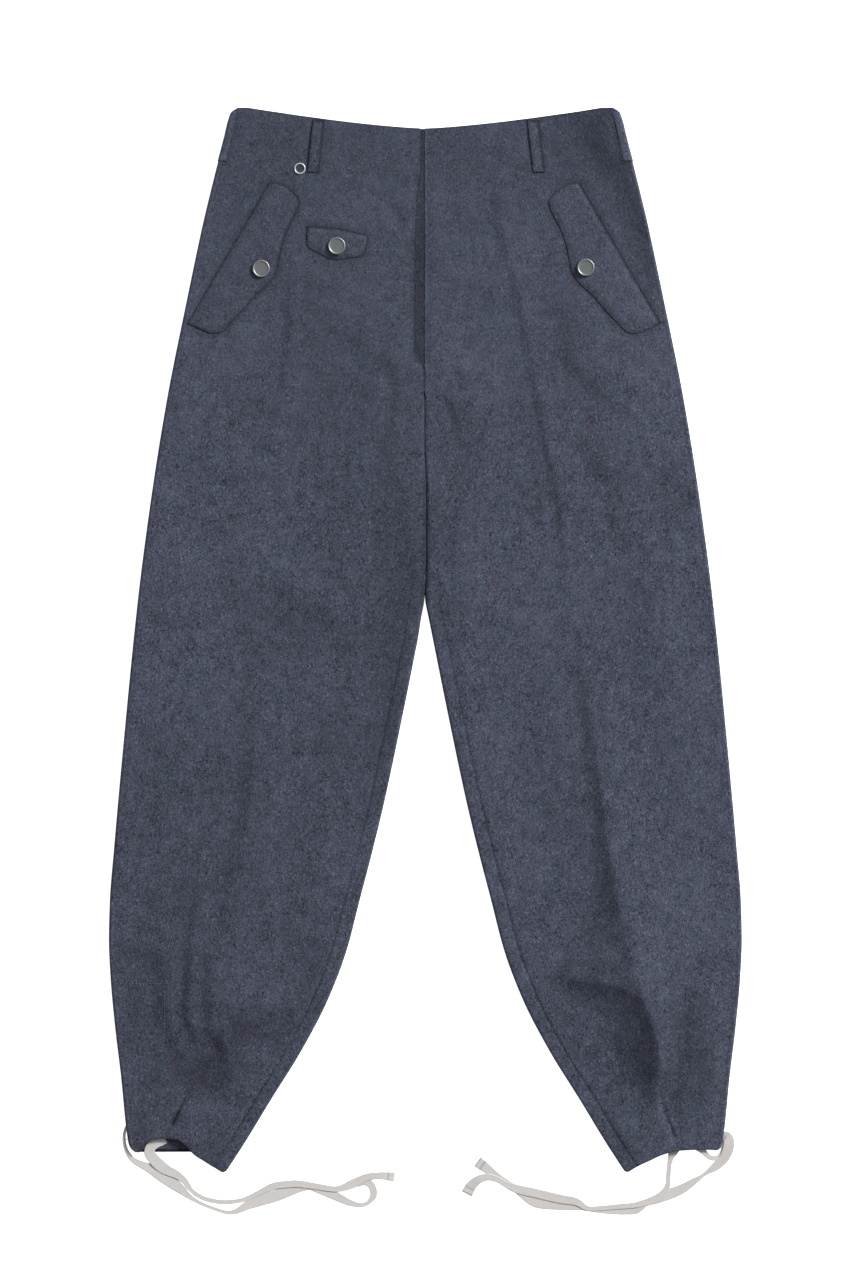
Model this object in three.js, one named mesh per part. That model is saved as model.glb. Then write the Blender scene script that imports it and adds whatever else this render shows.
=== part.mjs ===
// Paratrooper trousers in heavy wool, laid flat on their back with the front upwards.
// Millimetres. +X is the wearer's left, +Y runs up to the waist, +Z up; the garment lies on z = 0.
// Distances called d are measured sideways from the centre line, the same on both legs.
import * as THREE from 'three';

// Cloth and seams
const CLOTH = 2.0;            // thickness of the melton wall
const SEAM = 0.3;             // clear space between two pieces at a seam
const EDGE_GAP = 1.2;         // space between front and back at the folded edges
const SWELL = 2.4;            // how much further the layers part in the middle of a leg
const SWELL_RUN = 60;         // distance over which they part
const MOUTH_RUN = 22;         // and the same at the hems, whose mouths stand a little open
const MOUTH_FROM = -430;      // where the legs begin to open towards their hems
const MOUTH_TO = -490;
const FOLD_HEIGHT = (CLOTH + EDGE_GAP) / 2;   // radius of the wall's middle round an edge
const FOLD_OUTER = FOLD_HEIGHT + CLOTH / 2;   // radius of its outer face

// Body and legs
const WAIST_Y = 531;          // top of the waist at its corners
const TIP_Y = -531;           // lowest point of the hems
const WAIST_DIP = 21;         // how far the waist hollows at its middle
const WAIST_FLAT_FROM = 177;  // distance at which the hollow ends
const WAIST_POWER = 1.4;      // how the hollow sharpens towards the middle
const CROTCH_Y = 254;         // where the legs part
const CROTCH_RISE = 14;       // length over which a leg's inner edge rolls up below the crotch
const DIP_FROM = 285;         // where the front begins to sink towards the crotch
const DIP_TO = 235;
const OUTSEAM_WRAP = 5;       // how far the back comes onto the front at the outer edge

// Outer and inner edge of a leg
const OUTER_EDGE = [
  { y: 531, d: 186.5 },
  { y: 527, d: 191.2 },
  { y: 521, d: 194.7 },
  { y: 504, d: 198.7 },
  { y: 474, d: 205.7 },
  { y: 414, d: 221.5 },
  { y: 339, d: 237.5 },
  { y: 239, d: 257.5 },
  { y: 139, d: 273.5 },
  { y: 39, d: 286.5 },
  { y: -111, d: 301.5 },
  { y: -211, d: 310.5 },
  { y: -261, d: 314.5 },
  { y: -300, d: 315.5 },
  { y: -336, d: 314 },
  { y: -386, d: 309.5 },
  { y: -436, d: 303.5 },
  { y: -501, d: 296.5 },
  { y: -508, d: 294.8 },
  { y: -512, d: 290.5 },
  { y: -531, d: 270 },
];
const INNER_EDGE = [
  { y: 44, d: 0.15 },
  { y: 19, d: 4.5 },
  { y: -11, d: 10.5 },
  { y: -61, d: 20.5 },
  { y: -161, d: 41.5 },
  { y: -211, d: 53.5 },
  { y: -261, d: 66.5 },
  { y: -311, d: 79.5 },
  { y: -361, d: 98.5 },
  { y: -411, d: 124.5 },
  { y: -461, d: 155.5 },
  { y: -501, d: 180 },
  { y: -531, d: 201.4 },
];
// How far the back comes onto the front at the inside leg
const INSEAM_WRAP = [
  { y: 119, d: 3.4 },
  { y: 79, d: 11 },
  { y: 49, d: 14 },
  { y: -531, d: 16 },
];

// Hem curves: the right front arches up and shows the mouth of its leg
const HEM_BACK_RIGHT = [
  { d: 200, y: -532.2 },
  { d: 234.5, y: -512 },
  { d: 300, y: -512 },
];
const HEM_FRONT_RIGHT = [
  { d: 200, y: -532.2 },
  { d: 234, y: -512.3 },
  { d: 239.5, y: -505 },
  { d: 248.5, y: -500.3 },
  { d: 260.5, y: -499 },
  { d: 271.5, y: -500.5 },
  { d: 279, y: -505 },
  { d: 283.5, y: -511.6 },
  { d: 300, y: -512 },
];
const HEM_LEFT = [
  { d: 200, y: -532.2 },
  { d: 221.5, y: -521.8 },
  { d: 239.5, y: -514 },
  { d: 255.5, y: -510.7 },
  { d: 275.5, y: -510 },
  { d: 300, y: -511 },
];

// Creases pressed or pushed into the fronts: deep is how far they sink, below zero where they stand up
const CREASES = [
  {
    reach: 15,
    line: [
      { x: 119.5, y: 216, deep: 0.2 },
      { x: 141.5, y: 90, deep: 0.5 },
      { x: 156.5, y: -21, deep: 0.8 },
      { x: 163, y: -117, deep: 1.3 },
      { x: 174, y: -191, deep: 1.5 },
      { x: 189, y: -265, deep: 1.6 },
      { x: 206, y: -336, deep: 2.0 },
      { x: 214, y: -390, deep: 2.6 },
      { x: 224, y: -446, deep: 1.4 },
    ],
  },
  {
    reach: 14,
    line: [
      { x: 132.5, y: -333, deep: 0.6 },
      { x: 160.5, y: -356, deep: 1.4 },
      { x: 207.5, y: -346, deep: 0.6 },
    ],
  },
  {
    reach: 12,
    line: [
      { x: 183, y: -36, deep: -0.1 },
      { x: 196, y: -191, deep: -0.4 },
      { x: 219, y: -300, deep: -0.4 },
      { x: 242, y: -401, deep: -0.3 },
    ],
  },
  {
    reach: 16,
    line: [
      { x: -169.5, y: 49, deep: 0.5 },
      { x: -87.5, y: 16, deep: 1.2 },
    ],
  },
  {
    reach: 9,
    line: [
      { x: -259.5, y: -301, deep: 0.6 },
      { x: -256.5, y: -381, deep: 1.6 },
      { x: -244.5, y: -411, deep: 1.8 },
      { x: -224.5, y: -440, deep: 1.6 },
    ],
  },
  {
    reach: 9,
    line: [
      { x: -219.5, y: -251, deep: 0.5 },
      { x: -226.5, y: -331, deep: 1.4 },
      { x: -222, y: -381, deep: 1.6 },
      { x: -206, y: -401, deep: 0.9 },
    ],
  },
  {
    reach: 20,
    line: [
      { x: -214.5, y: -381, deep: 0.8 },
      { x: -140, y: -386, deep: 0.8 },
    ],
  },
];

// Fly
const FLY_TOP_SETBACK = 4.5;   // the right front's edge at the waist
const FLY_FOOT_SETBACK = 12.5; // and at the foot of the opening
const FLY_FOOT_Y = 285;
const FLY_CLOSE_Y = 269;       // where the edges meet again
const UNDERLAP = { from: -26, to: 14, bottom: 262, thick: 1.6 };
const UNDERLAP_DROP = 1;       // how far its top stays under the waist's edge

// Flaps, loops, eyelet and buttons
const FLAP_THICK = 2.2;
const FLAP_SEWN_EDGE = [
  { d: 154.6, y: 456.3 },
  { d: 236.7, y: 315.5 },
];
const FLAP_FREE_EDGE = [
  { d: 146, y: 454.6 },
  { d: 134.5, y: 449.4 },
  { d: 124.1, y: 436.5 },
  { d: 127.8, y: 425 },
  { d: 135.2, y: 410.3 },
  { d: 141.2, y: 394 },
  { d: 145, y: 376.5 },
  { d: 147.2, y: 366.5 },
  { d: 155, y: 354.7 },
  { d: 167.5, y: 343.5 },
  { d: 179, y: 330 },
  { d: 194, y: 314.2 },
  { d: 202, y: 306.5 },
  { d: 212, y: 305.1 },
  { d: 225.5, y: 310.2 },
];
const WATCH_SEWN_EDGE = [
  { d: 116.3, y: 412.6 },
  { d: 84.5, y: 410 },
  { d: 58.5, y: 404 },
];
const WATCH_FREE_EDGE = [
  { d: 118, y: 403 },
  { d: 116.1, y: 391.4 },
  { d: 109.5, y: 387.6 },
  { d: 96.9, y: 381 },
  { d: 88, y: 378.7 },
  { d: 77.5, y: 380 },
  { d: 63.5, y: 382 },
  { d: 59.5, y: 385.4 },
  { d: 55.8, y: 400 },
];
const BUTTON_RADIUS = 8.6;
const BUTTON_HEIGHT = 2.6;
// A button's section from the middle of its back to the middle of its dish, in shares of both
const BUTTON_SECTION = [
  { radius: 0, height: 0 },
  { radius: 0.8, height: 0 },
  { radius: 1, height: 0.35 },
  { radius: 1, height: 0.75 },
  { radius: 0.92, height: 1 },
  { radius: 0.8, height: 0.9 },
  { radius: 0.66, height: 0.6 },
  { radius: 0, height: 0.5 },
];
const BUTTONS = [
  { name: 'button_right_flap', x: -163, y: 369.7 },
  { name: 'button_watch_flap', x: -87.6, y: 392.4 },
  { name: 'button_left_flap', x: 161, y: 370.8 },
];
const EYELET = { x: -124.5, y: 469.8, outer: 5.7, inner: 4.3, thick: 0.9 };
const EYELET_SHOULDER = 0.7;   // share of its thickness at which its rounding begins
const EYELET_BEVEL = 0.2;
const LOOP_WIDTH = 12;
const LOOP_THICK = 1.6;
const FRONT_LOOPS = [
  { name: 'loop_front_right', topX: -105.5, footX: -111.2, topY: 518.5, footY: 466 },
  { name: 'loop_front_left', topX: 108.5, footX: 114.5, topY: 518.5, footY: 466 },
];
const SIDE_LOOP = [
  { y: 525, d: 187.2 },
  { y: 519, d: 188.7 },
  { y: 498, d: 193.4 },
  { y: 477.5, d: 198 },
];

// Ankle tapes: routes of their middles, with the lean of the tape's face from level, in degrees
const TAPE_WIDTH = 12;
const TAPE_THICK = 1.1;
const TAPE_SQUARE = 0.92;      // share of the width over which the tape keeps its thickness
const TAPE_CLEAR = 0.02;       // least height over the surface it lies on
const TAPES = [
  {
    name: 'tape_right_inner',
    route: [
      { x: -261.5, y: -495, z: 2.9, lean: 0 },
      { x: -264.5, y: -501, z: 2.9, lean: 0 },
      { x: -273.5, y: -507, z: 2.9, lean: 0 },
      { x: -276.5, y: -512.5, z: 3.0, lean: 0 },
      { x: -270.5, y: -519, z: 3.0, lean: 0 },
      { x: -260.5, y: -529, z: 2.6, lean: 0 },
      { x: -249, y: -534.5, z: 2.6, lean: 12 },
      { x: -238.5, y: -543, z: 3.2, lean: 50 },
      { x: -228, y: -554, z: 5.6, lean: 68 },
      { x: -215.5, y: -561, z: 5.6, lean: 68 },
      { x: -198.5, y: -563, z: 5.6, lean: 68 },
      { x: -182, y: -561.5, z: 4.8, lean: 50 },
      { x: -165.5, y: -554, z: 2.6, lean: 12 },
      { x: -152.5, y: -548.5, z: 2.7, lean: 0 },
      { x: -139.5, y: -545.6, z: 2.8, lean: 0 },
      { x: -118.5, y: -543, z: 2.8, lean: 0 },
      { x: -100, y: -546.5, z: 2.8, lean: 0 },
      { x: -82.5, y: -550, z: 2.8, lean: 0 },
      { x: -70.5, y: -544.5, z: 2.8, lean: 0 },
      { x: -58.5, y: -538, z: 2.8, lean: 0 },
      { x: -44.5, y: -536, z: 2.4, lean: 0 },
      { x: -29.5, y: -538, z: 1.2, lean: 0 },
    ],
  },
  {
    name: 'tape_right_outer',
    route: [
      { x: -299.6, y: -489, z: 6.2, lean: 74 },
      { x: -301.5, y: -498, z: 6.2, lean: 74 },
      { x: -300, y: -509, z: 6.2, lean: 74 },
      { x: -294, y: -518, z: 5.2, lean: 58 },
      { x: -281.5, y: -527, z: 2.4, lean: 18 },
      { x: -264.5, y: -541, z: 0.7, lean: 0 },
      { x: -248.5, y: -551, z: 0.9, lean: 6 },
      { x: -235.5, y: -558.5, z: 3.4, lean: 40 },
      { x: -224.5, y: -566, z: 5.4, lean: 66 },
      { x: -210.5, y: -571.5, z: 5.6, lean: 68 },
      { x: -197.5, y: -574.5, z: 5.2, lean: 64 },
      { x: -187.5, y: -572.5, z: 3.4, lean: 40 },
      { x: -171.5, y: -567, z: 0.8, lean: 4 },
      { x: -152.5, y: -561, z: 0.7, lean: 0 },
      { x: -133.5, y: -553, z: 0.7, lean: 0 },
      { x: -116.5, y: -550, z: 0.7, lean: 0 },
      { x: -99.5, y: -553.5, z: 0.7, lean: 0 },
      { x: -82.5, y: -562.5, z: 0.7, lean: 0 },
      { x: -67, y: -567.5, z: 0.7, lean: 0 },
      { x: -54, y: -563, z: 0.7, lean: 0 },
      { x: -48, y: -553, z: 0.7, lean: 0 },
      { x: -51, y: -544, z: 0.7, lean: 0 },
      { x: -60.5, y: -541, z: 0.7, lean: 0 },
    ],
  },
  {
    name: 'tape_left_inner',
    route: [
      { x: 256.5, y: -503, z: 3.4, lean: 0 },
      { x: 252.5, y: -509.5, z: 3.4, lean: 0 },
      { x: 248.4, y: -517, z: 3.4, lean: 6 },
      { x: 246, y: -526, z: 5.2, lean: 54 },
      { x: 245, y: -536, z: 5.2, lean: 54 },
      { x: 243.9, y: -545, z: 4.0, lean: 24 },
      { x: 239.5, y: -552, z: 3.2, lean: 8 },
      { x: 229.5, y: -558.6, z: 2.6, lean: 0 },
      { x: 211.5, y: -564, z: 2.6, lean: 0 },
      { x: 186.5, y: -567, z: 2.6, lean: 0 },
      { x: 160.5, y: -566, z: 2.6, lean: 0 },
      { x: 135.5, y: -558, z: 2.7, lean: 2 },
      { x: 111.5, y: -553, z: 3.9, lean: 8 },
      { x: 94.5, y: -549, z: 4.9, lean: 14 },
      { x: 80.5, y: -543, z: 4.4, lean: 15 },
      { x: 68.5, y: -539, z: 3.6, lean: 8 },
      { x: 54.5, y: -541, z: 2.4, lean: 0 },
      { x: 46.5, y: -547, z: 1.0, lean: 0 },
      { x: 42.5, y: -555, z: 0.7, lean: 0 },
    ],
  },
  {
    name: 'tape_left_outer',
    route: [
      { x: 281, y: -515.5, z: 6.0, lean: 72 },
      { x: 289, y: -517.5, z: 6.0, lean: 72 },
      { x: 297, y: -515, z: 6.0, lean: 72 },
      { x: 301.8, y: -509, z: 6.0, lean: 72 },
      { x: 303.5, y: -502, z: 6.2, lean: 66 },
      { x: 304, y: -494, z: 6.2, lean: 50 },
      { x: 306.6, y: -499, z: 8.2, lean: 30 },
      { x: 307.3, y: -511, z: 8.0, lean: 16 },
      { x: 302.5, y: -520, z: 6.0, lean: 14 },
      { x: 292.5, y: -525, z: 4.6, lean: 24 },
      { x: 279.5, y: -535, z: 3.4, lean: 40 },
      { x: 263.5, y: -546, z: 1.4, lean: 12 },
      { x: 250.5, y: -555, z: 0.7, lean: 0 },
      { x: 231.5, y: -564, z: 0.7, lean: 0 },
      { x: 218.5, y: -569, z: 0.7, lean: 0 },
      { x: 186.5, y: -571, z: 0.7, lean: 0 },
      { x: 160.5, y: -570, z: 0.7, lean: 0 },
      { x: 140.5, y: -566, z: 0.7, lean: 0 },
      { x: 115.5, y: -562, z: 0.9, lean: 4 },
      { x: 96, y: -552, z: 2.2, lean: 14 },
      { x: 81.5, y: -543.5, z: 2.2, lean: 15 },
      { x: 72, y: -537.5, z: 1.6, lean: 8 },
      { x: 63.5, y: -532, z: 0.7, lean: 0 },
      { x: 52.5, y: -523, z: 0.7, lean: 0 },
    ],
  },
];

// Mesh density
const ROW_BANDS = [
  { from: 531, to: 519, rows: 2 },
  { from: 519, to: 279, rows: 7 },
  { from: 279, to: 254, rows: 2 },
  { from: 254, to: 240, rows: 3 },
  { from: 240, to: 44, rows: 4 },
  { from: 44, to: -261, rows: 8 },
  { from: -261, to: -481, rows: 8 },
  { from: -481, to: -531, rows: 4 },
];
const WAIST_ZONE = 430;       // rows above this lean towards the waist's curve
const HEM_ZONE = -400;        // rows below this lean towards the hem's curve
const FRONT_COLUMNS = 14;
const BACK_COLUMNS = 5;       // across the underside
const TAPE_STEPS = 34;
const UNDERLAP_COLUMNS = 4;
const UNDERLAP_ROWS = 8;
const FLAP_STEPS = { along: 16, across: 4 };
const WATCH_FLAP_STEPS = { along: 12, across: 2 };
const LOOP_ROWS = 4;
const ROUND_STEPS = 24;       // sides of a turned piece
const RIM_CHECKS = 8;         // places round a button where the cloth's height is read
const LEVEL_ROUNDS = 12;      // passes that settle a column's ends on the waist's and the hem's curve
const LEVEL_STEP = 0.7;
const OUTER_ROLL = [90, 40, -5, -50];   // angles of a back's stations round its outer edge
const INNER_ROLL = [-50, 5, 50, 90];    // and round the inside leg
const SIDE_LOOP_ROLL = [90, 40, -5, -30];

const CLOTH_COLOUR = 0x484c5c;
const TAPE_COLOUR = 0xcdc8c5;
const METAL_COLOUR = 0x7c8084;

const group = new THREE.Group();

// ---- small helpers ----

function lerp(a, b, t) {
  return a + (b - a) * t;
}

function ease(t) {
  const s = THREE.MathUtils.clamp(t, 0, 1);
  return s * s * (3 - 2 * s);
}

// Value of a table's column at a place, straight between rows and level past the ends
function read(table, at, place, column) {
  const falling = table[0][at] > table[table.length - 1][at];
  const rows = falling ? [...table].reverse() : table;
  if (place <= rows[0][at]) return rows[0][column];
  for (let i = 1; i < rows.length; i += 1) {
    if (place <= rows[i][at]) {
      const t = (place - rows[i - 1][at]) / (rows[i][at] - rows[i - 1][at]);
      return lerp(rows[i - 1][column], rows[i][column], t);
    }
  }
  return rows[rows.length - 1][column];
}

const outerEdge = (y) => read(OUTER_EDGE, 'y', y, 'd');
const innerEdge = (y) => read(INNER_EDGE, 'y', y, 'd');
const inseamWrap = (y) => read(INSEAM_WRAP, 'y', y, 'd');
const legness = (y) => ease((CROTCH_Y - y) / CROTCH_RISE);

function waistCurve(d) {
  return WAIST_Y - WAIST_DIP * (1 - Math.min(d / WAIST_FLAT_FROM, 1) ** WAIST_POWER);
}

// Sum of the creases at a place: each sinks along its line and fades to its sides and ends
function creaseDepth(x, y) {
  let depth = 0;
  for (const crease of CREASES) {
    let nearest = Infinity;
    let deep = 0;
    for (let i = 1; i < crease.line.length; i += 1) {
      const a = crease.line[i - 1];
      const b = crease.line[i];
      const span = (b.x - a.x) ** 2 + (b.y - a.y) ** 2;
      const along = ((x - a.x) * (b.x - a.x) + (y - a.y) * (b.y - a.y)) / span;
      const t = THREE.MathUtils.clamp(along, 0, 1);
      const away = Math.hypot(x - lerp(a.x, b.x, t), y - lerp(a.y, b.y, t));
      if (away < nearest) {
        nearest = away;
        deep = lerp(a.deep, b.deep, t);
      }
    }
    depth += deep * Math.exp(-((nearest / crease.reach) ** 2));
  }
  return depth;
}

// Height of the middle of the upper layer
function upperHeight(side, d, y) {
  const run = lerp(SWELL_RUN, MOUTH_RUN, ease((y - MOUTH_FROM) / (MOUTH_TO - MOUTH_FROM)));
  const fromOuter = ease((outerEdge(y) - d - FOLD_OUTER) / run);
  const body = ease((y - DIP_TO) / (DIP_FROM - DIP_TO));
  const fromInner = lerp(ease((d - innerEdge(y) - FOLD_OUTER) / run), 1, body);
  const swell = (SWELL - creaseDepth(side * d, y)) * fromOuter * fromInner;
  return CLOTH * 1.5 + EDGE_GAP + swell;
}

// Top face of the upper layer, for what lies on it
function topFace(x, y) {
  return upperHeight(Math.sign(x), Math.abs(x), y) + CLOTH / 2;
}

function levels() {
  const list = [ROW_BANDS[0].from];
  for (const band of ROW_BANDS) {
    for (let i = 1; i <= band.rows; i += 1) {
      list.push(lerp(band.from, band.to, i / band.rows));
    }
  }
  return list;
}

// A column's own rows: level in the middle, drawn out to the waist's and the hem's curve at the ends
function columnRows(distanceAt, top, hem) {
  let waistY = WAIST_Y;
  let hemY = read(hem, 'd', distanceAt(TIP_Y), 'y');
  for (let round = 0; round < LEVEL_ROUNDS; round += 1) {
    waistY = top(distanceAt(waistY));
    hemY = lerp(hemY, read(hem, 'd', distanceAt(hemY), 'y'), LEVEL_STEP);
  }
  return levels().map((level) => {
    if (level > WAIST_ZONE) {
      return lerp(WAIST_ZONE, waistY, (level - WAIST_ZONE) / (WAIST_Y - WAIST_ZONE));
    }
    if (level < HEM_ZONE) {
      return lerp(HEM_ZONE, hemY, (level - HEM_ZONE) / (TIP_Y - HEM_ZONE));
    }
    return level;
  });
}

// A closed wall from two grids of points, the face and the lining side, joined round their rims
function wall(face, lining) {
  const rows = face.length;
  const columns = face[0].length;
  const positions = [];
  for (const grid of [face, lining]) {
    for (const row of grid) {
      for (const point of row) positions.push(point.x, point.y, point.z);
    }
  }
  const at = (layer, r, c) => (layer * rows + r) * columns + c;
  const indices = [];
  const quad = (a, b, c, d) => indices.push(a, b, c, a, c, d);
  for (let r = 0; r < rows - 1; r += 1) {
    for (let c = 0; c < columns - 1; c += 1) {
      quad(at(0, r, c), at(0, r + 1, c), at(0, r + 1, c + 1), at(0, r, c + 1));
      quad(at(1, r, c), at(1, r, c + 1), at(1, r + 1, c + 1), at(1, r + 1, c));
    }
    quad(at(0, r, 0), at(1, r, 0), at(1, r + 1, 0), at(0, r + 1, 0));
    const last = columns - 1;
    quad(at(0, r, last), at(0, r + 1, last), at(1, r + 1, last), at(1, r, last));
  }
  for (let c = 0; c < columns - 1; c += 1) {
    quad(at(0, 0, c), at(0, 0, c + 1), at(1, 0, c + 1), at(1, 0, c));
    const last = rows - 1;
    quad(at(0, last, c), at(1, last, c), at(1, last, c + 1), at(0, last, c + 1));
  }
  return closed(positions, indices);
}

// A geometry whose faces point out: turned over where its volume comes out negative
function closed(positions, indices) {
  const corner = (i) => new THREE.Vector3().fromArray(positions, indices[i] * 3);
  let volume = 0;
  for (let i = 0; i < indices.length; i += 3) {
    volume += corner(i).dot(corner(i + 1).cross(corner(i + 2)));
  }
  if (volume < 0) indices.reverse();
  const geometry = new THREE.BufferGeometry();
  geometry.setAttribute('position', new THREE.Float32BufferAttribute(positions, 3));
  geometry.setIndex(indices);
  geometry.computeVertexNormals();
  return geometry;
}

function addPiece(name, geometry, colour, roughness, metalness) {
  const material = new THREE.MeshStandardMaterial({ color: colour, roughness, metalness });
  const mesh = new THREE.Mesh(geometry, material);
  mesh.name = name;
  group.add(mesh);
  return mesh;
}

function addCloth(name, geometry) {
  return addPiece(name, geometry, CLOTH_COLOUR, 0.95, 0);
}

// ---- fronts ----

// The right front's edge stands back along the fly, and meets the other again at its foot
function flySetback(side, y) {
  if (side > 0 || y < FLY_CLOSE_Y) return SEAM / 2;
  if (y < FLY_FOOT_Y) {
    return lerp(SEAM / 2, FLY_FOOT_SETBACK, (y - FLY_CLOSE_Y) / (FLY_FOOT_Y - FLY_CLOSE_Y));
  }
  const up = (y - FLY_FOOT_Y) / (WAIST_Y - WAIST_DIP - FLY_FOOT_Y);
  return lerp(FLY_FOOT_SETBACK, FLY_TOP_SETBACK, Math.min(up, 1));
}

function frontPanel(side, hem) {
  const face = [];
  const lining = [];
  for (let c = 0; c <= FRONT_COLUMNS; c += 1) {
    const distanceAt = (y) => {
      const seam = innerEdge(y) + inseamWrap(y) + SEAM;
      const inner = lerp(flySetback(side, y), seam, legness(y));
      const outer = outerEdge(y) - OUTSEAM_WRAP - SEAM;
      return lerp(inner, outer, c / FRONT_COLUMNS);
    };
    columnRows(distanceAt, waistCurve, hem).forEach((y, r) => {
      const d = distanceAt(y);
      const z = upperHeight(side, d, y);
      if (c === 0) {
        face.push([]);
        lining.push([]);
      }
      face[r].push(new THREE.Vector3(side * d, y, z + CLOTH / 2));
      lining[r].push(new THREE.Vector3(side * d, y, z - CLOTH / 2));
    });
  }
  return wall(face, lining);
}

// ---- backs ----

// Stations across a back, from its outseam over the outer edge, along the floor and up the inside
// leg. Each gives its distance and height, and the same pair flattened for above the crotch.
function backStations(side) {
  const floor = CLOTH / 2;
  const centre = floor + FOLD_HEIGHT;
  const stations = [];
  const outerArc = (angle) => ({
    place: (y) => outerEdge(y) - FOLD_OUTER + FOLD_HEIGHT * Math.cos(angle),
    height: () => centre + FOLD_HEIGHT * Math.sin(angle),
    normal: () => [Math.cos(angle), Math.sin(angle)],
  });
  stations.push({
    place: (y) => outerEdge(y) - OUTSEAM_WRAP,
    height: (y) => upperHeight(side, outerEdge(y) - OUTSEAM_WRAP, y),
    normal: () => [0, 1],
  });
  for (const degrees of OUTER_ROLL) {
    stations.push(outerArc(THREE.MathUtils.degToRad(degrees)));
  }
  for (let i = 0; i <= BACK_COLUMNS; i += 1) {
    stations.push({
      place: (y) => {
        const from = outerEdge(y) - FOLD_OUTER;
        return lerp(from, innerEdge(y) + FOLD_OUTER, i / BACK_COLUMNS);
      },
      height: () => floor,
      normal: () => [0, -1],
    });
  }
  const rolled = INNER_ROLL.map((degrees) => THREE.MathUtils.degToRad(degrees));
  rolled.forEach((angle, i) => {
    const flat = FOLD_OUTER * (1 - (i + 1) / (rolled.length + 1)) + SEAM / 2;
    stations.push({
      place: (y) => {
        const leg = innerEdge(y) + FOLD_OUTER - FOLD_HEIGHT * Math.cos(angle);
        return lerp(flat, leg, legness(y));
      },
      height: (y) => lerp(floor, centre + FOLD_HEIGHT * Math.sin(angle), legness(y)),
      normal: (y) => {
        const turn = lerp(-Math.PI / 2, angle, legness(y));
        return [-Math.cos(turn), Math.sin(turn)];
      },
    });
  });
  stations.push({
    place: (y) => lerp(SEAM / 2, innerEdge(y) + inseamWrap(y), legness(y)),
    height: (y) => {
      const top = upperHeight(side, innerEdge(y) + inseamWrap(y), y);
      return lerp(floor, top, legness(y));
    },
    normal: (y) => {
      const turn = lerp(-Math.PI / 2, Math.PI / 2, legness(y));
      return [-Math.cos(turn), Math.sin(turn)];
    },
  });
  return stations;
}

function backPanel(side, hem) {
  const face = [];
  const lining = [];
  backStations(side).forEach((station, s) => {
    columnRows(station.place, waistCurve, hem).forEach((y, r) => {
      const [across, up] = station.normal(y);
      const d = station.place(y);
      const z = station.height(y);
      const half = CLOTH / 2;
      if (s === 0) {
        face.push([]);
        lining.push([]);
      }
      const out = new THREE.Vector3(side * (d + across * half), y, Math.max(z + up * half, 0));
      face[r].push(out);
      lining[r].push(new THREE.Vector3(side * (d - across * half), y, z - up * half));
    });
  });
  return wall(face, lining);
}

// ---- fly underlap ----

function flyUnderlap() {
  const face = [];
  const lining = [];
  for (let r = 0; r <= UNDERLAP_ROWS; r += 1) {
    face.push([]);
    lining.push([]);
    for (let c = 0; c <= UNDERLAP_COLUMNS; c += 1) {
      const x = lerp(UNDERLAP.from, UNDERLAP.to, c / UNDERLAP_COLUMNS);
      const top = waistCurve(Math.abs(x)) - UNDERLAP_DROP;
      const y = lerp(top, UNDERLAP.bottom, r / UNDERLAP_ROWS);
      const z = upperHeight(Math.sign(x), Math.abs(x), y) - CLOTH / 2 - SEAM;
      face[r].push(new THREE.Vector3(x, y, z));
      lining[r].push(new THREE.Vector3(x, y, z - UNDERLAP.thick));
    }
  }
  return wall(face, lining);
}

// ---- flaps ----

function pathOf(rows) {
  const points = rows.map((row) => new THREE.Vector3(row.d, row.y, 0));
  return new THREE.CatmullRomCurve3(points, false, 'centripetal');
}

// A flap ruled from its sewn edge to its free edge, laid on the front under it
function flap(side, sewn, free, { along, across }) {
  const sewnPath = pathOf(sewn);
  const freePath = pathOf(free);
  const face = [];
  const lining = [];
  for (let r = 0; r <= along; r += 1) {
    const from = sewnPath.getPointAt(r / along);
    const to = freePath.getPointAt(r / along);
    face.push([]);
    lining.push([]);
    for (let c = 0; c <= across; c += 1) {
      const point = from.clone().lerp(to, c / across);
      const z = topFace(side * point.x, point.y) + SEAM;
      face[r].push(new THREE.Vector3(side * point.x, point.y, z + FLAP_THICK));
      lining[r].push(new THREE.Vector3(side * point.x, point.y, z));
    }
  }
  return wall(face, lining);
}

// ---- buttons and eyelet ----

// A dished disc: raised rim, hollow middle, flat back
function buttonGeometry() {
  const profile = BUTTON_SECTION.map(({ radius, height }) => {
    return new THREE.Vector2(radius * BUTTON_RADIUS, height * BUTTON_HEIGHT);
  });
  const geometry = new THREE.LatheGeometry(profile, ROUND_STEPS);
  geometry.rotateX(Math.PI / 2);
  return geometry;
}

function eyeletGeometry() {
  const shoulder = EYELET.thick * EYELET_SHOULDER;
  const profile = [
    new THREE.Vector2(EYELET.inner, 0),
    new THREE.Vector2(EYELET.outer, 0),
    new THREE.Vector2(EYELET.outer - EYELET_BEVEL, shoulder),
    new THREE.Vector2((EYELET.outer + EYELET.inner) / 2, EYELET.thick),
    new THREE.Vector2(EYELET.inner, shoulder),
    new THREE.Vector2(EYELET.inner, 0),
  ];
  const geometry = new THREE.LatheGeometry(profile, ROUND_STEPS);
  geometry.rotateX(Math.PI / 2);
  return geometry;
}

// ---- belt loops ----

function frontLoop(loop) {
  const face = [];
  const lining = [];
  for (let r = 0; r <= LOOP_ROWS; r += 1) {
    const centre = lerp(loop.topX, loop.footX, r / LOOP_ROWS);
    const y = lerp(loop.topY, loop.footY, r / LOOP_ROWS);
    const edges = [centre - LOOP_WIDTH / 2, centre + LOOP_WIDTH / 2];
    const bottom = edges.map((x) => new THREE.Vector3(x, y, topFace(x, y) + SEAM));
    lining.push(bottom);
    face.push(bottom.map((point) => point.clone().setZ(point.z + LOOP_THICK)));
  }
  return wall(face, lining);
}

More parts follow.
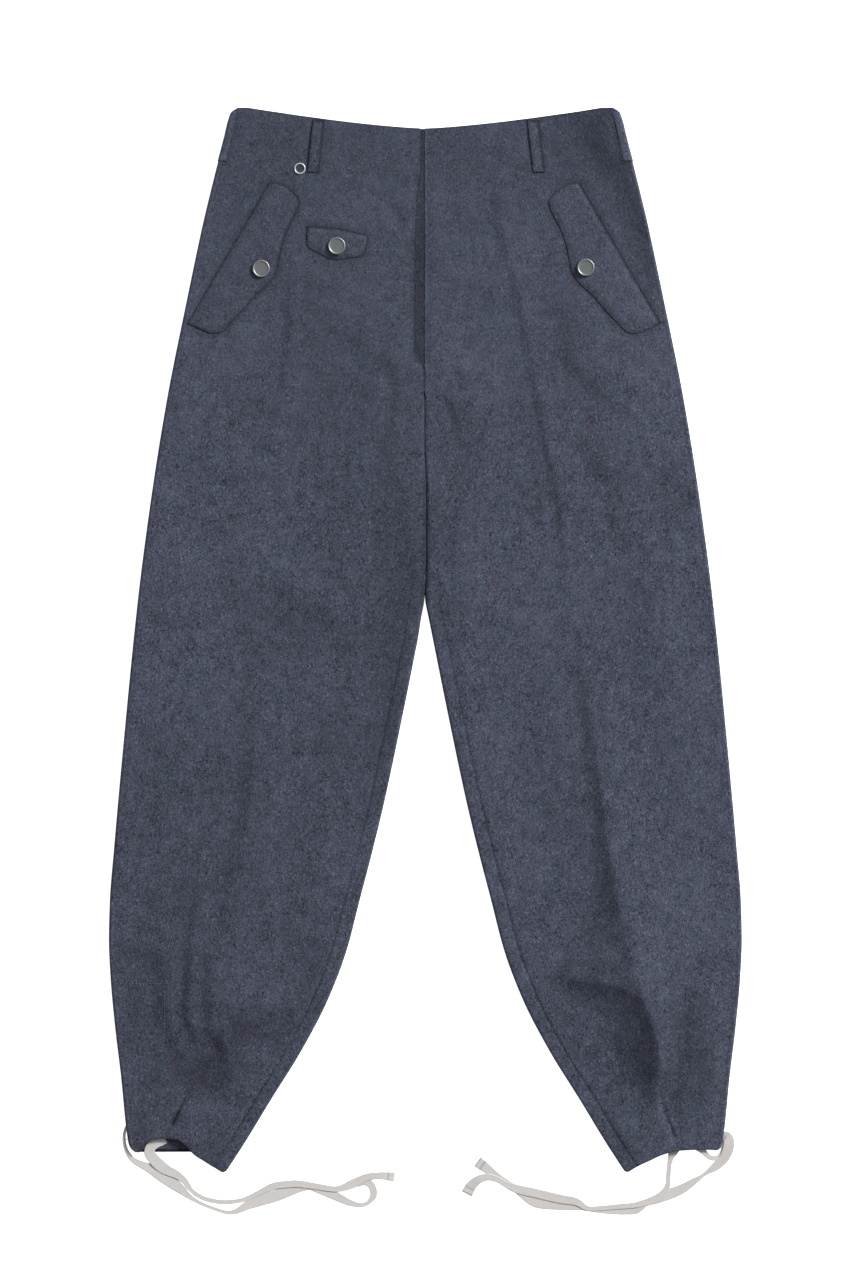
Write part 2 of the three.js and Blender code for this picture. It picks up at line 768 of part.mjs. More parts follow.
// A side loop lies on the front and turns down round the folded edge
function sideLoop(side) {
  const face = [];
  const lining = [];
  const centre = CLOTH / 2 + FOLD_HEIGHT;
  for (const { y, d: inner } of SIDE_LOOP) {
    const axis = outerEdge(y) - FOLD_OUTER;
    for (const [grid, lift] of [[lining, SEAM], [face, SEAM + LOOP_THICK]]) {
      const radius = FOLD_OUTER + lift;
      const row = [new THREE.Vector3(side * Math.min(inner, axis - 1), y, centre + radius)];
      for (const degrees of SIDE_LOOP_ROLL) {
        const angle = THREE.MathUtils.degToRad(degrees);
        const d = axis + radius * Math.cos(angle);
        row.push(new THREE.Vector3(side * d, y, centre + radius * Math.sin(angle)));
      }
      grid.push(row);
    }
  }
  return wall(face, lining);
}

// ---- ankle tapes ----

// A flat tape along its route: a thin eight-sided section that leans as the route says
function tapeGeometry(route) {
  const half = TAPE_WIDTH / 2;
  const thin = TAPE_THICK / 2;
  const section = [
    [half, 0],
    [half * TAPE_SQUARE, thin],
    [0, thin],
    [-half * TAPE_SQUARE, thin],
    [-half, 0],
    [-half * TAPE_SQUARE, -thin],
    [0, -thin],
    [half * TAPE_SQUARE, -thin],
  ];
  const middle = route.map((row) => new THREE.Vector3(row.x, row.y, row.z));
  const leans = route.map((row) => new THREE.Vector3(row.lean, 0, 0));
  const path = new THREE.CatmullRomCurve3(middle, false, 'centripetal');
  const lean = new THREE.CatmullRomCurve3(leans, false, 'catmullrom', 0);
  const up = new THREE.Vector3(0, 0, 1);
  const positions = [];
  const indices = [];
  for (let i = 0; i <= TAPE_STEPS; i += 1) {
    const t = path.getUtoTmapping(i / TAPE_STEPS);
    const centre = path.getPoint(t);
    const angle = THREE.MathUtils.degToRad(lean.getPoint(t).x);
    const tangent = path.getTangent(t).setZ(0).normalize();
    const sideways = new THREE.Vector3().crossVectors(tangent, up);
    for (const [wide, high] of section) {
      const across = wide * Math.cos(angle) - high * Math.sin(angle);
      const rise = wide * Math.sin(angle) + high * Math.cos(angle);
      const point = centre.clone().addScaledVector(sideways, across);
      positions.push(point.x, point.y, Math.max(point.z + rise, TAPE_CLEAR));
    }
  }
  const count = section.length;
  for (let i = 0; i < TAPE_STEPS; i += 1) {
    for (let k = 0; k < count; k += 1) {
      const next = (k + 1) % count;
      const a = i * count + k;
      const b = i * count + next;
      const c = (i + 1) * count + next;
      const d = (i + 1) * count + k;
      indices.push(a, b, c, a, c, d);
    }
  }
  const end = TAPE_STEPS * count;
  for (let k = 1; k < count - 1; k += 1) {
    indices.push(0, k + 1, k);
    indices.push(end, end + k, end + k + 1);
  }
  return closed(positions, indices);
}

// ---- the whole garment ----

addCloth('front_left', frontPanel(1, HEM_LEFT));
addCloth('front_right', frontPanel(-1, HEM_FRONT_RIGHT));
addCloth('back_left', backPanel(1, HEM_LEFT));
addCloth('back_right', backPanel(-1, HEM_BACK_RIGHT));
addCloth('fly_underlap', flyUnderlap());
addCloth('pocket_flap_left', flap(1, FLAP_SEWN_EDGE, FLAP_FREE_EDGE, FLAP_STEPS));
addCloth('pocket_flap_right', flap(-1, FLAP_SEWN_EDGE, FLAP_FREE_EDGE, FLAP_STEPS));
addCloth('watch_pocket_flap', flap(-1, WATCH_SEWN_EDGE, WATCH_FREE_EDGE, WATCH_FLAP_STEPS));
for (const loop of FRONT_LOOPS) addCloth(loop.name, frontLoop(loop));
addCloth('loop_side_left', sideLoop(1));
addCloth('loop_side_right', sideLoop(-1));

for (const button of BUTTONS) {
  const mesh = addPiece(button.name, buttonGeometry(), METAL_COLOUR, 0.45, 0.8);
  let highest = 0;
  for (let i = 0; i < RIM_CHECKS; i += 1) {
    const angle = (i / RIM_CHECKS) * Math.PI * 2;
    const x = button.x + BUTTON_RADIUS * Math.cos(angle);
    highest = Math.max(highest, topFace(x, button.y + BUTTON_RADIUS * Math.sin(angle)));
  }
  mesh.position.set(button.x, button.y, highest + FLAP_THICK + 2 * SEAM);
}
const eyelet = addPiece('eyelet', eyeletGeometry(), METAL_COLOUR, 0.35, 0.9);
eyelet.position.set(EYELET.x, EYELET.y, topFace(EYELET.x, EYELET.y) + SEAM);

for (const tape of TAPES) {
  addPiece(tape.name, tapeGeometry(tape.route), TAPE_COLOUR, 0.9, 0);
}

export default group;
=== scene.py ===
"""Heavy wool paratrooper trousers laid flat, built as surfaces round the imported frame.

Shapes are worked out in millimetres: +X is the wearer's left, +Y runs up to the waist and +Z is up.
Distances called d are measured sideways from the centre line, the same on both legs.
"""

import math

import bpy
import numpy as np
from bpy.props import FloatProperty, FloatVectorProperty, PointerProperty
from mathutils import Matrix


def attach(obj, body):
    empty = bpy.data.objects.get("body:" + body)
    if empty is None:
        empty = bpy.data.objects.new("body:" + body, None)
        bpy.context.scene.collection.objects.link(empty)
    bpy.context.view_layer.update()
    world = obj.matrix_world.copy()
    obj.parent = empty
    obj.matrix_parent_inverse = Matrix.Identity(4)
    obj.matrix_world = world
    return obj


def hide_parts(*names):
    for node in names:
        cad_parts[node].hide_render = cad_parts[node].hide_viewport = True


bl_info = {
    "name": "Paratrooper Trousers",
    "version": (1, 0, 0),
    "blender": (4, 5, 0),
    "location": "3D View > Sidebar > Trousers",
    "description": "Builds heavy wool trousers laid flat, with their stage",
    "category": "Object",
}

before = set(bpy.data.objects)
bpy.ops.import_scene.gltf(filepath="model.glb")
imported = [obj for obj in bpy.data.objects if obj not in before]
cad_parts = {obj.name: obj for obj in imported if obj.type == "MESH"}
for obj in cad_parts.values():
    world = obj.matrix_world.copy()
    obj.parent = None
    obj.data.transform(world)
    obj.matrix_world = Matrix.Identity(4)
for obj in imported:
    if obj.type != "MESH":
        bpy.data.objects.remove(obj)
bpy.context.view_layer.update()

MM = 0.001

# Cloth and seams
CLOTH = 2.0                   # thickness of the melton wall
EDGE_GAP = 1.2                # space between front and back at the folded edges
SWELL = 2.4                   # how much further the layers part in the middle of a leg
SWELL_RUN = 60.0              # distance over which they part
MOUTH_RUN = 22.0              # and the same at the hems, whose mouths stand a little open
MOUTH_FROM = -430.0
MOUTH_TO = -490.0
FOLD_HEIGHT = (CLOTH + EDGE_GAP) / 2   # radius of the wall's middle round an edge
FOLD_OUTER = FOLD_HEIGHT + CLOTH / 2   # radius of its outer face
FOLD_CLOSER = 2.6             # four times how much the legs' folds close up where they begin
CREASE_RUN = 14.0             # distance from a folded edge over which creases fade in
LOWEST_MIDDLE = 3.25          # the upper layer never sinks below this
LOWEST_SOFTNESS = 0.4         # how softly it comes to rest there
UPPER_WAVES = ((3, 90, 0.45), (8, 30, 0.16))   # unevenness: seed, length and height
UNDER_WAVE = (5, 70, 0.1)     # and of the underside
UNDER_SUNK = 0.05             # how much of that is pressed flat
UNDER_RUN = 20.0              # distance over which it fades in, past a flat strip at each edge
UNDER_OUTER_FLAT = 8.0
UNDER_INNER_FLAT = 6.0
UNDER_END_RUN = 14.0
SEAM_CLOSE = 0.03             # sewn edges meet this near
LAID_CLOSE = 0.08             # what is sewn on top lies this near
EDGE_ROUND = 0.9              # how far in a cut edge is rounded
EDGE_DARK_REACH = 1.3         # how far in a cut edge or a seam the painted shade reaches
FAR = 99.0                    # stands for no edge near
SEAM_DIP = 0.5                # how far a plain seam is drawn down
SEAM_DIP_REACH = 1.8
OUTSEAM_MARK = 0.2            # share of a plain seam's dip along the outseam
END_PAINTED_SHADE = 0.55               # how dark the painted shade is at the waist's and the hems' edges
SEAM_PAINTED_SHADE = 0.8               # how dark the painted shade is in a plain seam's groove
INSIDE_PAINTED_SHADE = 1.3             # how dark the painted shade is on a back's lining behind its ends, where it shows
INSIDE_FAINT_PAINTED_SHADE = 0.05
INSIDE_DEPTH = 2.5

# Body and legs
WAIST_Y = 531.0
TIP_Y = -533.0
WAIST_DIP = 21.0
WAIST_FLAT_FROM = 177.0
WAIST_POWER = 1.4
WAIST_ZONE = 430.0
HEM_ZONE = -400.0
CROTCH_Y = 254.0
CROTCH_RISE = 14.0            # length over which a leg's inner edge rolls up below the crotch
FRONT_LATER = 5.0             # how much lower the fronts begin to give way to the backs
DIP_FROM = 285.0              # where the front begins to sink towards the crotch
DIP_TO = 235.0
OUTSEAM_WRAP = 5.0            # how far the back comes onto the front at the outer edge

# Edge tables: height y and distance d
OUTER_EDGE = np.array([
    (-531, 270), (-512, 290.5), (-508, 294.4), (-501, 296.5), (-436, 303.5), (-386, 309.5),
    (-336, 314), (-300, 315.5), (-261, 314.5), (-211, 310.5), (-111, 301.5), (39, 286.5),
    (139, 273.5), (239, 257.5), (339, 237.5), (414, 221.7), (439, 215.8), (474, 207.1), (504, 199.3),
    (518.5, 195.9), (527, 192.8), (531, 187),
], float)
INNER_EDGE = np.array([
    (-533, 200.6), (-520, 192), (-501, 179.8), (-461, 155.5), (-411, 124.5), (-361, 98.5),
    (-311, 79.5), (-261, 66.5), (-211, 53.5), (-161, 41.5), (-61, 20.5), (-11, 10.5), (19, 4.5),
    (42, 0.1), (58, -0.5),
], float)
INSEAM_WRAP = np.array([(-531, 16), (49, 14), (79, 11), (119, 3.4)], float)
OUTER_MORE = 1.8              # how much further out the left side lies than its mirror image
INNER_MORE = 1.9              # how much further in the inner edge of the right leg lies
# How far the middle line between the thighs leans towards the wearer's left
CENTRE_LEAN = np.array([(44, 0.3), (70, 1.6), (150, 1.7), (190, 0.1), (235, 0)], float)

# Hem curves: distance d and height y
HEM_BACK_RIGHT = np.array([
    (198, -531.5), (201.5, -532.9), (204.9, -531.2), (209.6, -528.1), (219.2, -522.1),
    (228.8, -516.1), (234.5, -512.7), (300, -512.9),
], float)
HEM_FRONT_RIGHT = np.array([
    (198, -531.5), (201.5, -532.9), (204.9, -531.2), (219.2, -522.1), (230, -515.2), (235.5, -509.5),
    (239.5, -505), (248.5, -500.3), (260.5, -499), (271.5, -500.5), (279, -505), (283.5, -511.6),
    (300, -512.4),
], float)
HEM_LEFT = np.array([
    (198, -530.6), (203.2, -532.6), (206.4, -530.8), (210.6, -528.1), (216.2, -525.1),
    (222.6, -522.1), (239.5, -514.6), (255.5, -511), (275.5, -510.2), (300, -511.2),
], float)

# How plainly the inseam shows along each leg, as its dip and its painted shade, and how dark the
# painted shade is along the middle line between the thighs: height y and a share of the full mark
INSEAM_MARK = {
    1: np.array([(-531, 0.8), (-300, 0.75), (-150, 0.75), (-60, 0.6), (10, 0.35), (70, 0.2),
                 (100, 0)]),
    -1: np.array([(-531, 0.2), (-500, 0.5), (-480, 0.95), (-440, 0.8), (-425, 0.35), (-395, 0.3),
                  (-370, 0.65), (-260, 0.8), (-225, 0.3), (-180, 0.7), (-60, 0.55), (60, 0.2),
                  (100, 0)]),
}
LOWER_LEG_SHADE = 0.11        # how much darker the lower part of the right leg is
LOWER_LEG_FROM = -20.0
LOWER_LEG_RUN = 120.0
MIDDLE_REACH = {1: 3.9, -1: 3.2}   # how wide the painted shade is low between the thighs
MIDDLE_REACH_ABOVE = 2.0      # and further up
MIDDLE_REACH_FROM = 165.0
MIDDLE_REACH_RUN = 20.0
MIDDLE_MARK = np.array([(20, 0), (48, 1), (150, 1), (175, 0.55), (225, 0.45), (238, 0.7), (247, 1)])

def even(left, right, *rows):
    """A fold whose reach to the left and to the right of its line is the same all along."""
    return [(*row, left, right) for row in rows]


# Folds of the fronts. Each row of a line is x, y, rise, and how far the fold reaches to the left and
# to the right of its line, seen along it, as one number where they are alike. A negative rise is a
# trough.
FOLDS = [
    # wearer's left leg: press crease of the thigh
    even(26, 5, (72.5, 472, 0.2), (72.5, 440, 0.9), (76, 416, 1.2), (82, 398, 1), (91, 359, 1.4),
         (100.5, 319, 1.7), (107.5, 279, 1.5), (114.5, 240, 2.1), (122.5, 199, 2.2),
         (130.5, 159, 2.1), (136.5, 129, 1.7), (140, 94, 1.1), (145.5, 39, 0.3)),
    # its fold over the shin, which deepens down to the ankle
    [(154.5, -16, 0.3, 30, 5), (159.5, -36, 1.4, 32, 6), (164.5, -61, 2.6, 34, 7),
     (169.5, -101, 4.2, 38, 9), (176, -141, 5.2, 40, 10.5), (182, -181, 6.2, 42, 12),
     (186, -211, 7.4, 45, 13.5), (190.5, -241, 8.4, 46, 15), (196, -266, 8.8, 46, 17),
     (202, -291, 7.6, 46, 18), (207, -311, 6, 46, 16), (212, -336, 5.4, 44, 12),
     (219, -361, 6.2, 42, 12), (228.5, -381, 8.4, 44, 13), (234.5, -403, 10.8, 46, 15),
     (235, -426, 10.4, 46, 15), (233, -448, 6.2, 44, 12), (231, -470, 0.5, 30, 9)],
    # the fullness that hangs over the ankle
    [(130, -332, 0.3, 36, 7), (140, -335, 2.8, 36, 9), (155, -338, 5.4, 36, 11),
     (178, -342, 7.6, 36, 13), (198, -347, 7.4, 36, 13), (210, -355, 3.4, 36, 12)],
    [(180, -372, -0.8, 20), (192, -400, -1.6, 22), (200, -430, -1, 20)],
    [(287, -372, 0.6, 16, 26), (285, -410, 2, 16, 28), (282, -460, 2, 16, 26),
     (280, -490, 0.4, 14, 20)],
    even(13, 13, (275.5, -311, -0.5), (260.5, -356, -2.6), (253.5, -396, -3.2), (250.5, -436, -2.2),
         (248, -470, -0.5)),
    even(10, 10, (238, -442, -0.8), (248, -480, -1.7), (252, -503, -1)),
    # hip and thigh of the same side
    [(156, 528, -2.6, 15), (160, 500, -2.8, 15), (176, 462, -1.6, 13)],
    [(190, 462, -2, 13), (200.5, 425, -3.2, 13), (213.5, 379, -3, 13), (226, 335, -0.8, 12)],
    [(132, 519, -0.8, 9), (146, 519, -1.6, 10)],
    [(132.5, 317, -1.4, 9), (131.5, 289, -1.2, 9), (140.5, 267, -1.8, 9), (165.5, 244, -2.2, 10),
     (183.5, 233, -0.8, 9)],
    even(12, 12, (145.5, 194, -0.8), (165.5, 169, -2), (180.5, 149, -1.2)),
    even(9, 9, (235.5, 161, -0.8), (265.5, 139, -2)),
    even(8, 8, (175.5, 139, -0.5), (190.5, 94, -1.1)),
    even(8, 8, (230.5, 134, -0.5), (240.5, 94, -1.1)),
    even(30, 9, (175.5, -8, 0.9), (275.5, -6, 0.9)),
    even(5, 5, (18, 237, -1.6), (28, 214, -1.2), (34, 199, -0.3)),
    # wearer's right leg: press crease of the thigh, and the dent above the knee
    even(24, 5, (-132.5, 352, 0.3), (-133, 299, 1.3), (-138, 269, 1.6), (-143, 239, 1.4),
         (-149, 214, 1), (-154.5, 187, 0.3)),
    [(-172.5, 56, -1.2, 9), (-149.5, 41, -2.5, 9), (-127.5, 27, -2.1, 9), (-99.5, 9, -1.6, 13),
     (-64.5, 6, -0.6, 14)],
    # its shin, then the pleats that gather towards the ankle
    even(34, 9, (-166, -21, 0.6), (-168, -61, 1.6), (-170, -121, 2.3), (-175, -181, 2.5),
         (-183, -211, 2.5), (-193, -251, 2.5), (-198, -291, 2.2), (-205, -325, 0.5)),
    [(-221.5, -206, 0.5, 10, 6), (-225.5, -261, 1.5, 10, 6), (-230.5, -301, 2.1, 9, 6),
     (-233.5, -340, 2.4, 9, 6), (-235.5, -375, 2.3, 9, 6), (-228, -398, 1.5, 8, 6),
     (-216, -415, 0.4, 8, 6)],
    [(-256.5, -306, 0.4, 8, 9), (-256.5, -318, 2, 9, 10), (-256.5, -345, 2.3, 9, 11),
     (-254, -380, 2.2, 9, 10), (-246.5, -403, 1.6, 9), (-236, -420, 0.4, 8)],
    [(-214, -291, 0.8, 24, 8), (-213, -331, 2.1, 24, 9), (-213, -361, 2.5, 24, 9),
     (-208, -385, 2.2, 22, 9), (-198, -400, 0.6, 20, 9)],
    [(-263, -366, 0.3, 34, 9), (-240, -380, 2.4, 36, 10), (-216, -388, 4.2, 38, 12),
     (-199, -400, 6.2, 40, 14), (-194, -422, 6.6, 40, 14), (-199, -444, 3.6, 36, 12),
     (-206, -458, 0.4, 30, 10)],
    [(-270, -360, 0.5, 40, 12), (-240, -360, 1.4, 40, 14), (-196.5, -362, 2.6, 44, 16),
     (-159.5, -364, 4.2, 44, 17), (-130, -364, 3.6, 44, 16), (-110, -356, 1, 44, 15)],
    [(-304.5, -309, 1.4, 34, 10), (-281, -308, 3, 34, 12), (-260, -310, 3, 34, 12)],
    # inside of its thigh, and slight dents below the waist
    [(-46, 199, -0.6, 18), (-46, 139, -1.6, 20), (-38, 79, -2, 20), (-36, 19, -2, 20),
     (-42, -41, -0.8, 18)],
    [(-76, -255, 0.3, 9, 12), (-93, -305, 1.5, 9, 13), (-110, -345, 1.2, 9, 12),
     (-125, -370, 0.2, 9, 10)],
    even(9, 9, (-72.5, 294, -1.8), (-74.5, 284, -1.8)),
    even(8, 8, (-39.5, 269, -0.7), (-32.5, 239, -1.5), (-39.5, 209, -1.3), (-46.5, 184, -0.8)),
    even(7, 7, (-39.5, 439, -0.9), (-26.5, 414, -1.1), (-16.5, 379, -0.6)),
    # darts that take in each ankle
    even(2.4, 2.4, (233.5, -446, -0.4), (239.5, -474, -1), (249, -497, -1.8)),
    even(2.4, 2.4, (-236, -450, -0.5), (-243.5, -466, -1.1), (-252, -484, -1.8)),
]

# Painted shade on the cloth, or painted light where the third column is negative, in the same
# form. The third column is the share of the darkening at a cut edge.
PAINTED_LIGHT_AND_SHADE = [
    even(32, 32, (-205, 478, 0.11), (205, 478, 0.12)),
    # painted shade beside the side loops
    even(4.5, 1.5, (-188.5, 525, 0.4), (-200, 477, 0.6)),
    even(1.5, 4.5, (188.5, 525, 0.3), (200, 477, 0.5)),
    # hip and thigh of the wearer's left side
    [(148, 530, 0.5, 26, 32), (164, 505, 0.62, 28, 34), (198, 455, 0.52, 22, 30),
     (217, 405, 0.44, 20, 26), (229, 362, 0.2, 18, 22)],
    [(125, 322, 0.15, 12), (130, 285, 0.26, 14), (150, 245, 0.36, 14), (190, 225, 0.15, 13)],
    [(165, 345, -0.1, 24), (185, 290, -0.2, 26), (205, 262, -0.15, 22)],
    [(234, 330, -0.1, 20), (240, 255, -0.25, 24), (228, 205, -0.12, 22)],
    [(24, 385, -0.06, 16), (24, 350, -0.14, 18), (28, 250, -0.08, 18)],
    [(150, 196, 0.12, 14), (172, 166, 0.18, 15), (205, 155, 0.08, 14)],
    [(236, 172, 0.08, 16), (250, 140, 0.24, 20), (240, 100, 0.14, 18)],
    [(74, 172, -0.1, 24), (72, 130, -0.25, 26), (72, 60, -0.18, 26), (50, -10, -0.16, 22),
     (48, -60, -0.25, 22), (56, -130, -0.27, 22), (76, -190, -0.26, 22), (95, -250, -0.2, 20),
     (124, -325, -0.22, 18), (134, -352, -0.2, 16)],
    # its shin and ankle
    [(250, -100, 0.06, 40), (255, -135, 0.14, 44), (255, -180, 0.06, 40)],
    [(160, -268, 0.1, 18), (170, -300, 0.44, 22), (174, -340, 0.3, 20)],
    [(168, -362, 0.12, 18), (178, -390, 0.28, 20), (168, -428, 0.16, 18)],
    [(192, -368, 0.3, 20, 18), (204, -400, 0.75, 20), (209, -438, 0.55, 17, 18),
     (216, -462, 0.1, 12)],
    [(250, -345, 0.28, 26), (257, -380, 0.6, 34, 26), (274, -415, 0.62, 36, 32),
     (284, -455, 0.5, 28), (286, -480, 0.1, 20)],
    # inner thigh of the other leg, its thigh and its outer edge
    [(-42, 262, 0.12, 20, 28), (-41, 215, 0.3, 22, 32), (-36, 180, 0.36, 24, 34),
     (-28, 140, 0.38, 24, 36), (-24, 90, 0.42, 22, 36), (-26, 40, 0.44, 22, 34),
     (-30, -10, 0.38, 20, 26), (-33, -60, 0.38, 22), (-43, -105, 0.4, 20), (-54, -138, 0.1, 16)],
    even(24, 24, (-58, 330, -0.08), (-52, 300, -0.14)),
    [(-106, 345, 0.2, 22), (-98, 300, 0.3, 26), (-84, 255, 0.2, 26), (-110, 200, 0.08, 40)],
    [(-222, 330, -0.16, 45, 30), (-238, 240, -0.2, 50, 30), (-248, 150, -0.18, 50, 30),
     (-255, 60, -0.16, 50, 30), (-262, 10, -0.24, 50, 30), (-268, -50, -0.18, 46, 30),
     (-275, -110, -0.06, 40, 30)],
    [(-176, 46, 0.3, 13), (-152, 30, 0.46, 14), (-105, 0, 0.42, 16), (-62, -8, 0.26, 14)],
    even(26, 26, (-60, -50, 0.1), (-70, -75, 0.12)),
    # its shin and ankle
    [(-300, -190, -0.24, 24, 20), (-302, -245, -0.22, 24, 20), (-304, -305, -0.14, 20)],
    [(-176, -165, 0.12, 26), (-170, -210, 0.24, 30), (-166, -250, 0.1, 26)],
    [(-228, -205, 0.1, 16), (-228, -250, 0.24, 18), (-238, -300, 0.28, 24, 22),
     (-238, -350, 0.26, 24, 22)],
    [(-124, -270, 0.1, 20), (-116, -340, 0.3, 20), (-112, -358, 0.46, 20), (-124, -385, 0.2, 16)],
    [(-212, -335, 0.2, 22), (-196, -362, 0.25, 22), (-180, -390, 0.7, 28), (-156, -390, 0.48, 24)],
    [(-252, -392, 0.2, 18), (-246, -415, 0.34, 18), (-229, -432, 0.75, 20), (-212, -446, 0.3, 16)],
    even(1.8, 1.8, (-236.5, -455, 0), (-243, -467, 0.7), (-252, -485, 1.3)),
    [(-204, -505, 0.25, 16), (-206, -522, 0.3, 14)],
]

# Creases of the underside, in the same form; there a rise lifts the cloth off the floor
UNDER_FOLDS = [
    [(118, 300, 0.3, 10), (146, 60, 0.7, 12), (176, -160, 0.9, 14), (214, -380, 0.8, 12)],
    [(-124, 280, 0.4, 10), (-150, 40, 0.8, 13), (-182, -190, 0.8, 12), (-220, -400, 0.6, 10)],
    [(60, 210, 0.7, 12), (120, 170, 0.4, 10), (170, 176, 0.1, 8)],
    [(-55, 205, 0.6, 11), (-110, 158, 0.5, 12), (-160, 150, 0.1, 8)],
    [(96, -250, 0.3, 12), (170, -268, 0.8, 14), (250, -250, 0.2, 12)],
    [(-110, -262, 0.3, 12), (-190, -286, 0.8, 14), (-262, -262, 0.2, 12)],
    [(190, -420, 0.8, 9), (214, -470, 0.5, 8)],
    [(-196, -424, 0.8, 9), (-222, -474, 0.4, 8)],
]

# Fly
FLY_CLOSE_Y = 269.0
FLY_MEETS = 0.05              # how near the middle line a front's edge comes with no setback
# How far the wearer's right front stands back along the fly: height y and distance
FLY_SETBACK = np.array([
    (269, FLY_MEETS), (274, 3.4), (285, 9.8), (300, 11.2), (380, 10.4), (440, 8.6), (454, 7.2),
    (468, 5.0), (480, 4.6), (531, 4.4),
], float)
FLY_LIFT = 0.05               # how much the overlapping front stands up along the fly
FLY_LIFT_RUN = 46.0
FLY_LIFT_FROM = FLY_CLOSE_Y - 8
FLY_LIFT_RISE = 22.0
FLY_FOOT_RUN = 6.0            # length over which the fly's edges begin above its foot
FLY_THIN = 0.2                # share of the cloth that is left at the pressed edges of the fly
FLY_THIN_RUN = 9.0
MIDDLE_PAINTED_SHADE = 0.7             # how dark the painted shade is on the middle line between the fly's foot and the crotch
FLY_RIDGE_PAINTED_LIGHT = 0.25        # how much painted highlight lies on the overlapping front's ridge, where, and how far
FLY_RIDGE_AT = 1.5
FLY_RIDGE_REACH = 1.6
FLY_PAINTED_SHADE = 0.3               # how dark the painted shade is on the other front beside it, and how far
FLY_PAINTED_SHADE_REACH = 4.5
UNDERLAP_FROM = -26.0
UNDERLAP_TO = 14.0
UNDERLAP_DROP = 1.0           # how far its top stays under the waist's edge
UNDERLAP_BOTTOM = 246.0
UNDERLAP_THICK = 1.6

# Flaps: distance d and height y
FLAP_THICK = 1.3
FLAP_THIN_RUN = 7.0           # distance over which a flap thins to half at its edges
FLAP_BULGE = 0.25             # how far it swells in its middle
FLAP_BULGE_RUN = 9.0
FLAP_MARK_REACH = 2.6         # how far in its edge the painted shade reaches
FLAP_PAINTED_SHADE = 0.42             # how dark the painted shade is on the cloth round a flap, and how far
FLAP_PAINTED_SHADE_REACH = 3.8
FLAP_SEWN_EDGE = [(154.6, 456.3), (236.7, 315.5)]
FLAP_FREE_EDGE = [
    (146, 454.6), (134.5, 449.4), (124.1, 436.5), (127.8, 425), (135.2, 410.3), (141.2, 394),
    (145, 376.5), (147.2, 366.5), (155, 354.7), (167.5, 343.5), (179, 330), (194, 314.2),
    (202, 306.5), (212, 305.1), (225.5, 310.2),
]
WATCH_SEWN_EDGE = [(116.3, 412.6), (84.5, 410), (58.5, 404)]
WATCH_FREE_EDGE = [
    (118, 403), (116.1, 391.4), (109.5, 387.6), (96.9, 381), (88, 378.7), (77.5, 380),
    (63.5, 382), (59.5, 385.4), (55.8, 400),
]

LIGHT_FROM = math.radians(38)   # where the light comes from, from +x towards +y
RIM_SHADE_MEAN = 0.82              # how dark the painted shade is at the rim of a flap or a loop, and how much more where it faces the light
RIM_SHADE_BY_LIGHT = 0.5           # faces the light

# Buttons, eyelet and belt loops
BUTTON_RADIUS = 8.6
BUTTON_HEIGHT = 2.2
BUTTON_CLEAR = 0.2
BEAD = 0.75                   # radius of the bead round its rim
RIM_WIDTH = 1.7               # what is bright: so much of its rim, above this height
RIM_FROM = 0.9
BUTTONS = {
    "button_right_flap": (-163.0, 369.7),
    "button_watch_flap": (-87.6, 392.4),
    "button_left_flap": (161.0, 370.8),
}
EYELET_PLACE = (-124.5, 469.8)
EYELET_OUTER = 5.7
EYELET_INNER = 4.3
EYELET_THICK = 0.9
EYELET_SHOULDER = 0.25        # height at which its rounding begins
EYELET_CLEAR = 0.15
LOOP_WIDTH = 12.0
LOOP_THICK = 1.0
SIDE_LOOP_THICK = 0.55
SIDE_LOOP_LIGHT = 0.3         # how much lighter a side loop is
SIDE_LOOP_PAINTED_SHADE = 0.5          # how dark the painted shade at its edge is, and how far in
SIDE_LOOP_PAINTED_SHADE_REACH = 1.2
SIDE_LOOP_TOP = 527.0
SIDE_LOOP_FOOT = 477.5
SIDE_LOOP_TURN = 120          # degrees that it turns round the folded edge
LOOP_TOP = 518.5
LOOP_FOOT = 466.0
LOOP_ARCH = 0.2
LOOP_MARK_REACH = 2.2         # how far in its edge the painted shade reaches
LOOP_TACK = 0.3               # how far the stitches at its ends draw a loop down
LOOP_PAINTED_SHADE = 0.3              # how dark the painted shade is beside a front loop, and how far
LOOP_PAINTED_SHADE_REACH = 3.0
FRONT_LOOPS = {
    "loop_front_right": (-105.5, -111.2),
    "loop_front_left": (108.5, 114.5),
}
SIDE_LOOP = np.array([(477.5, 198), (498, 193.4), (519, 188.7), (525, 187.2)], float)

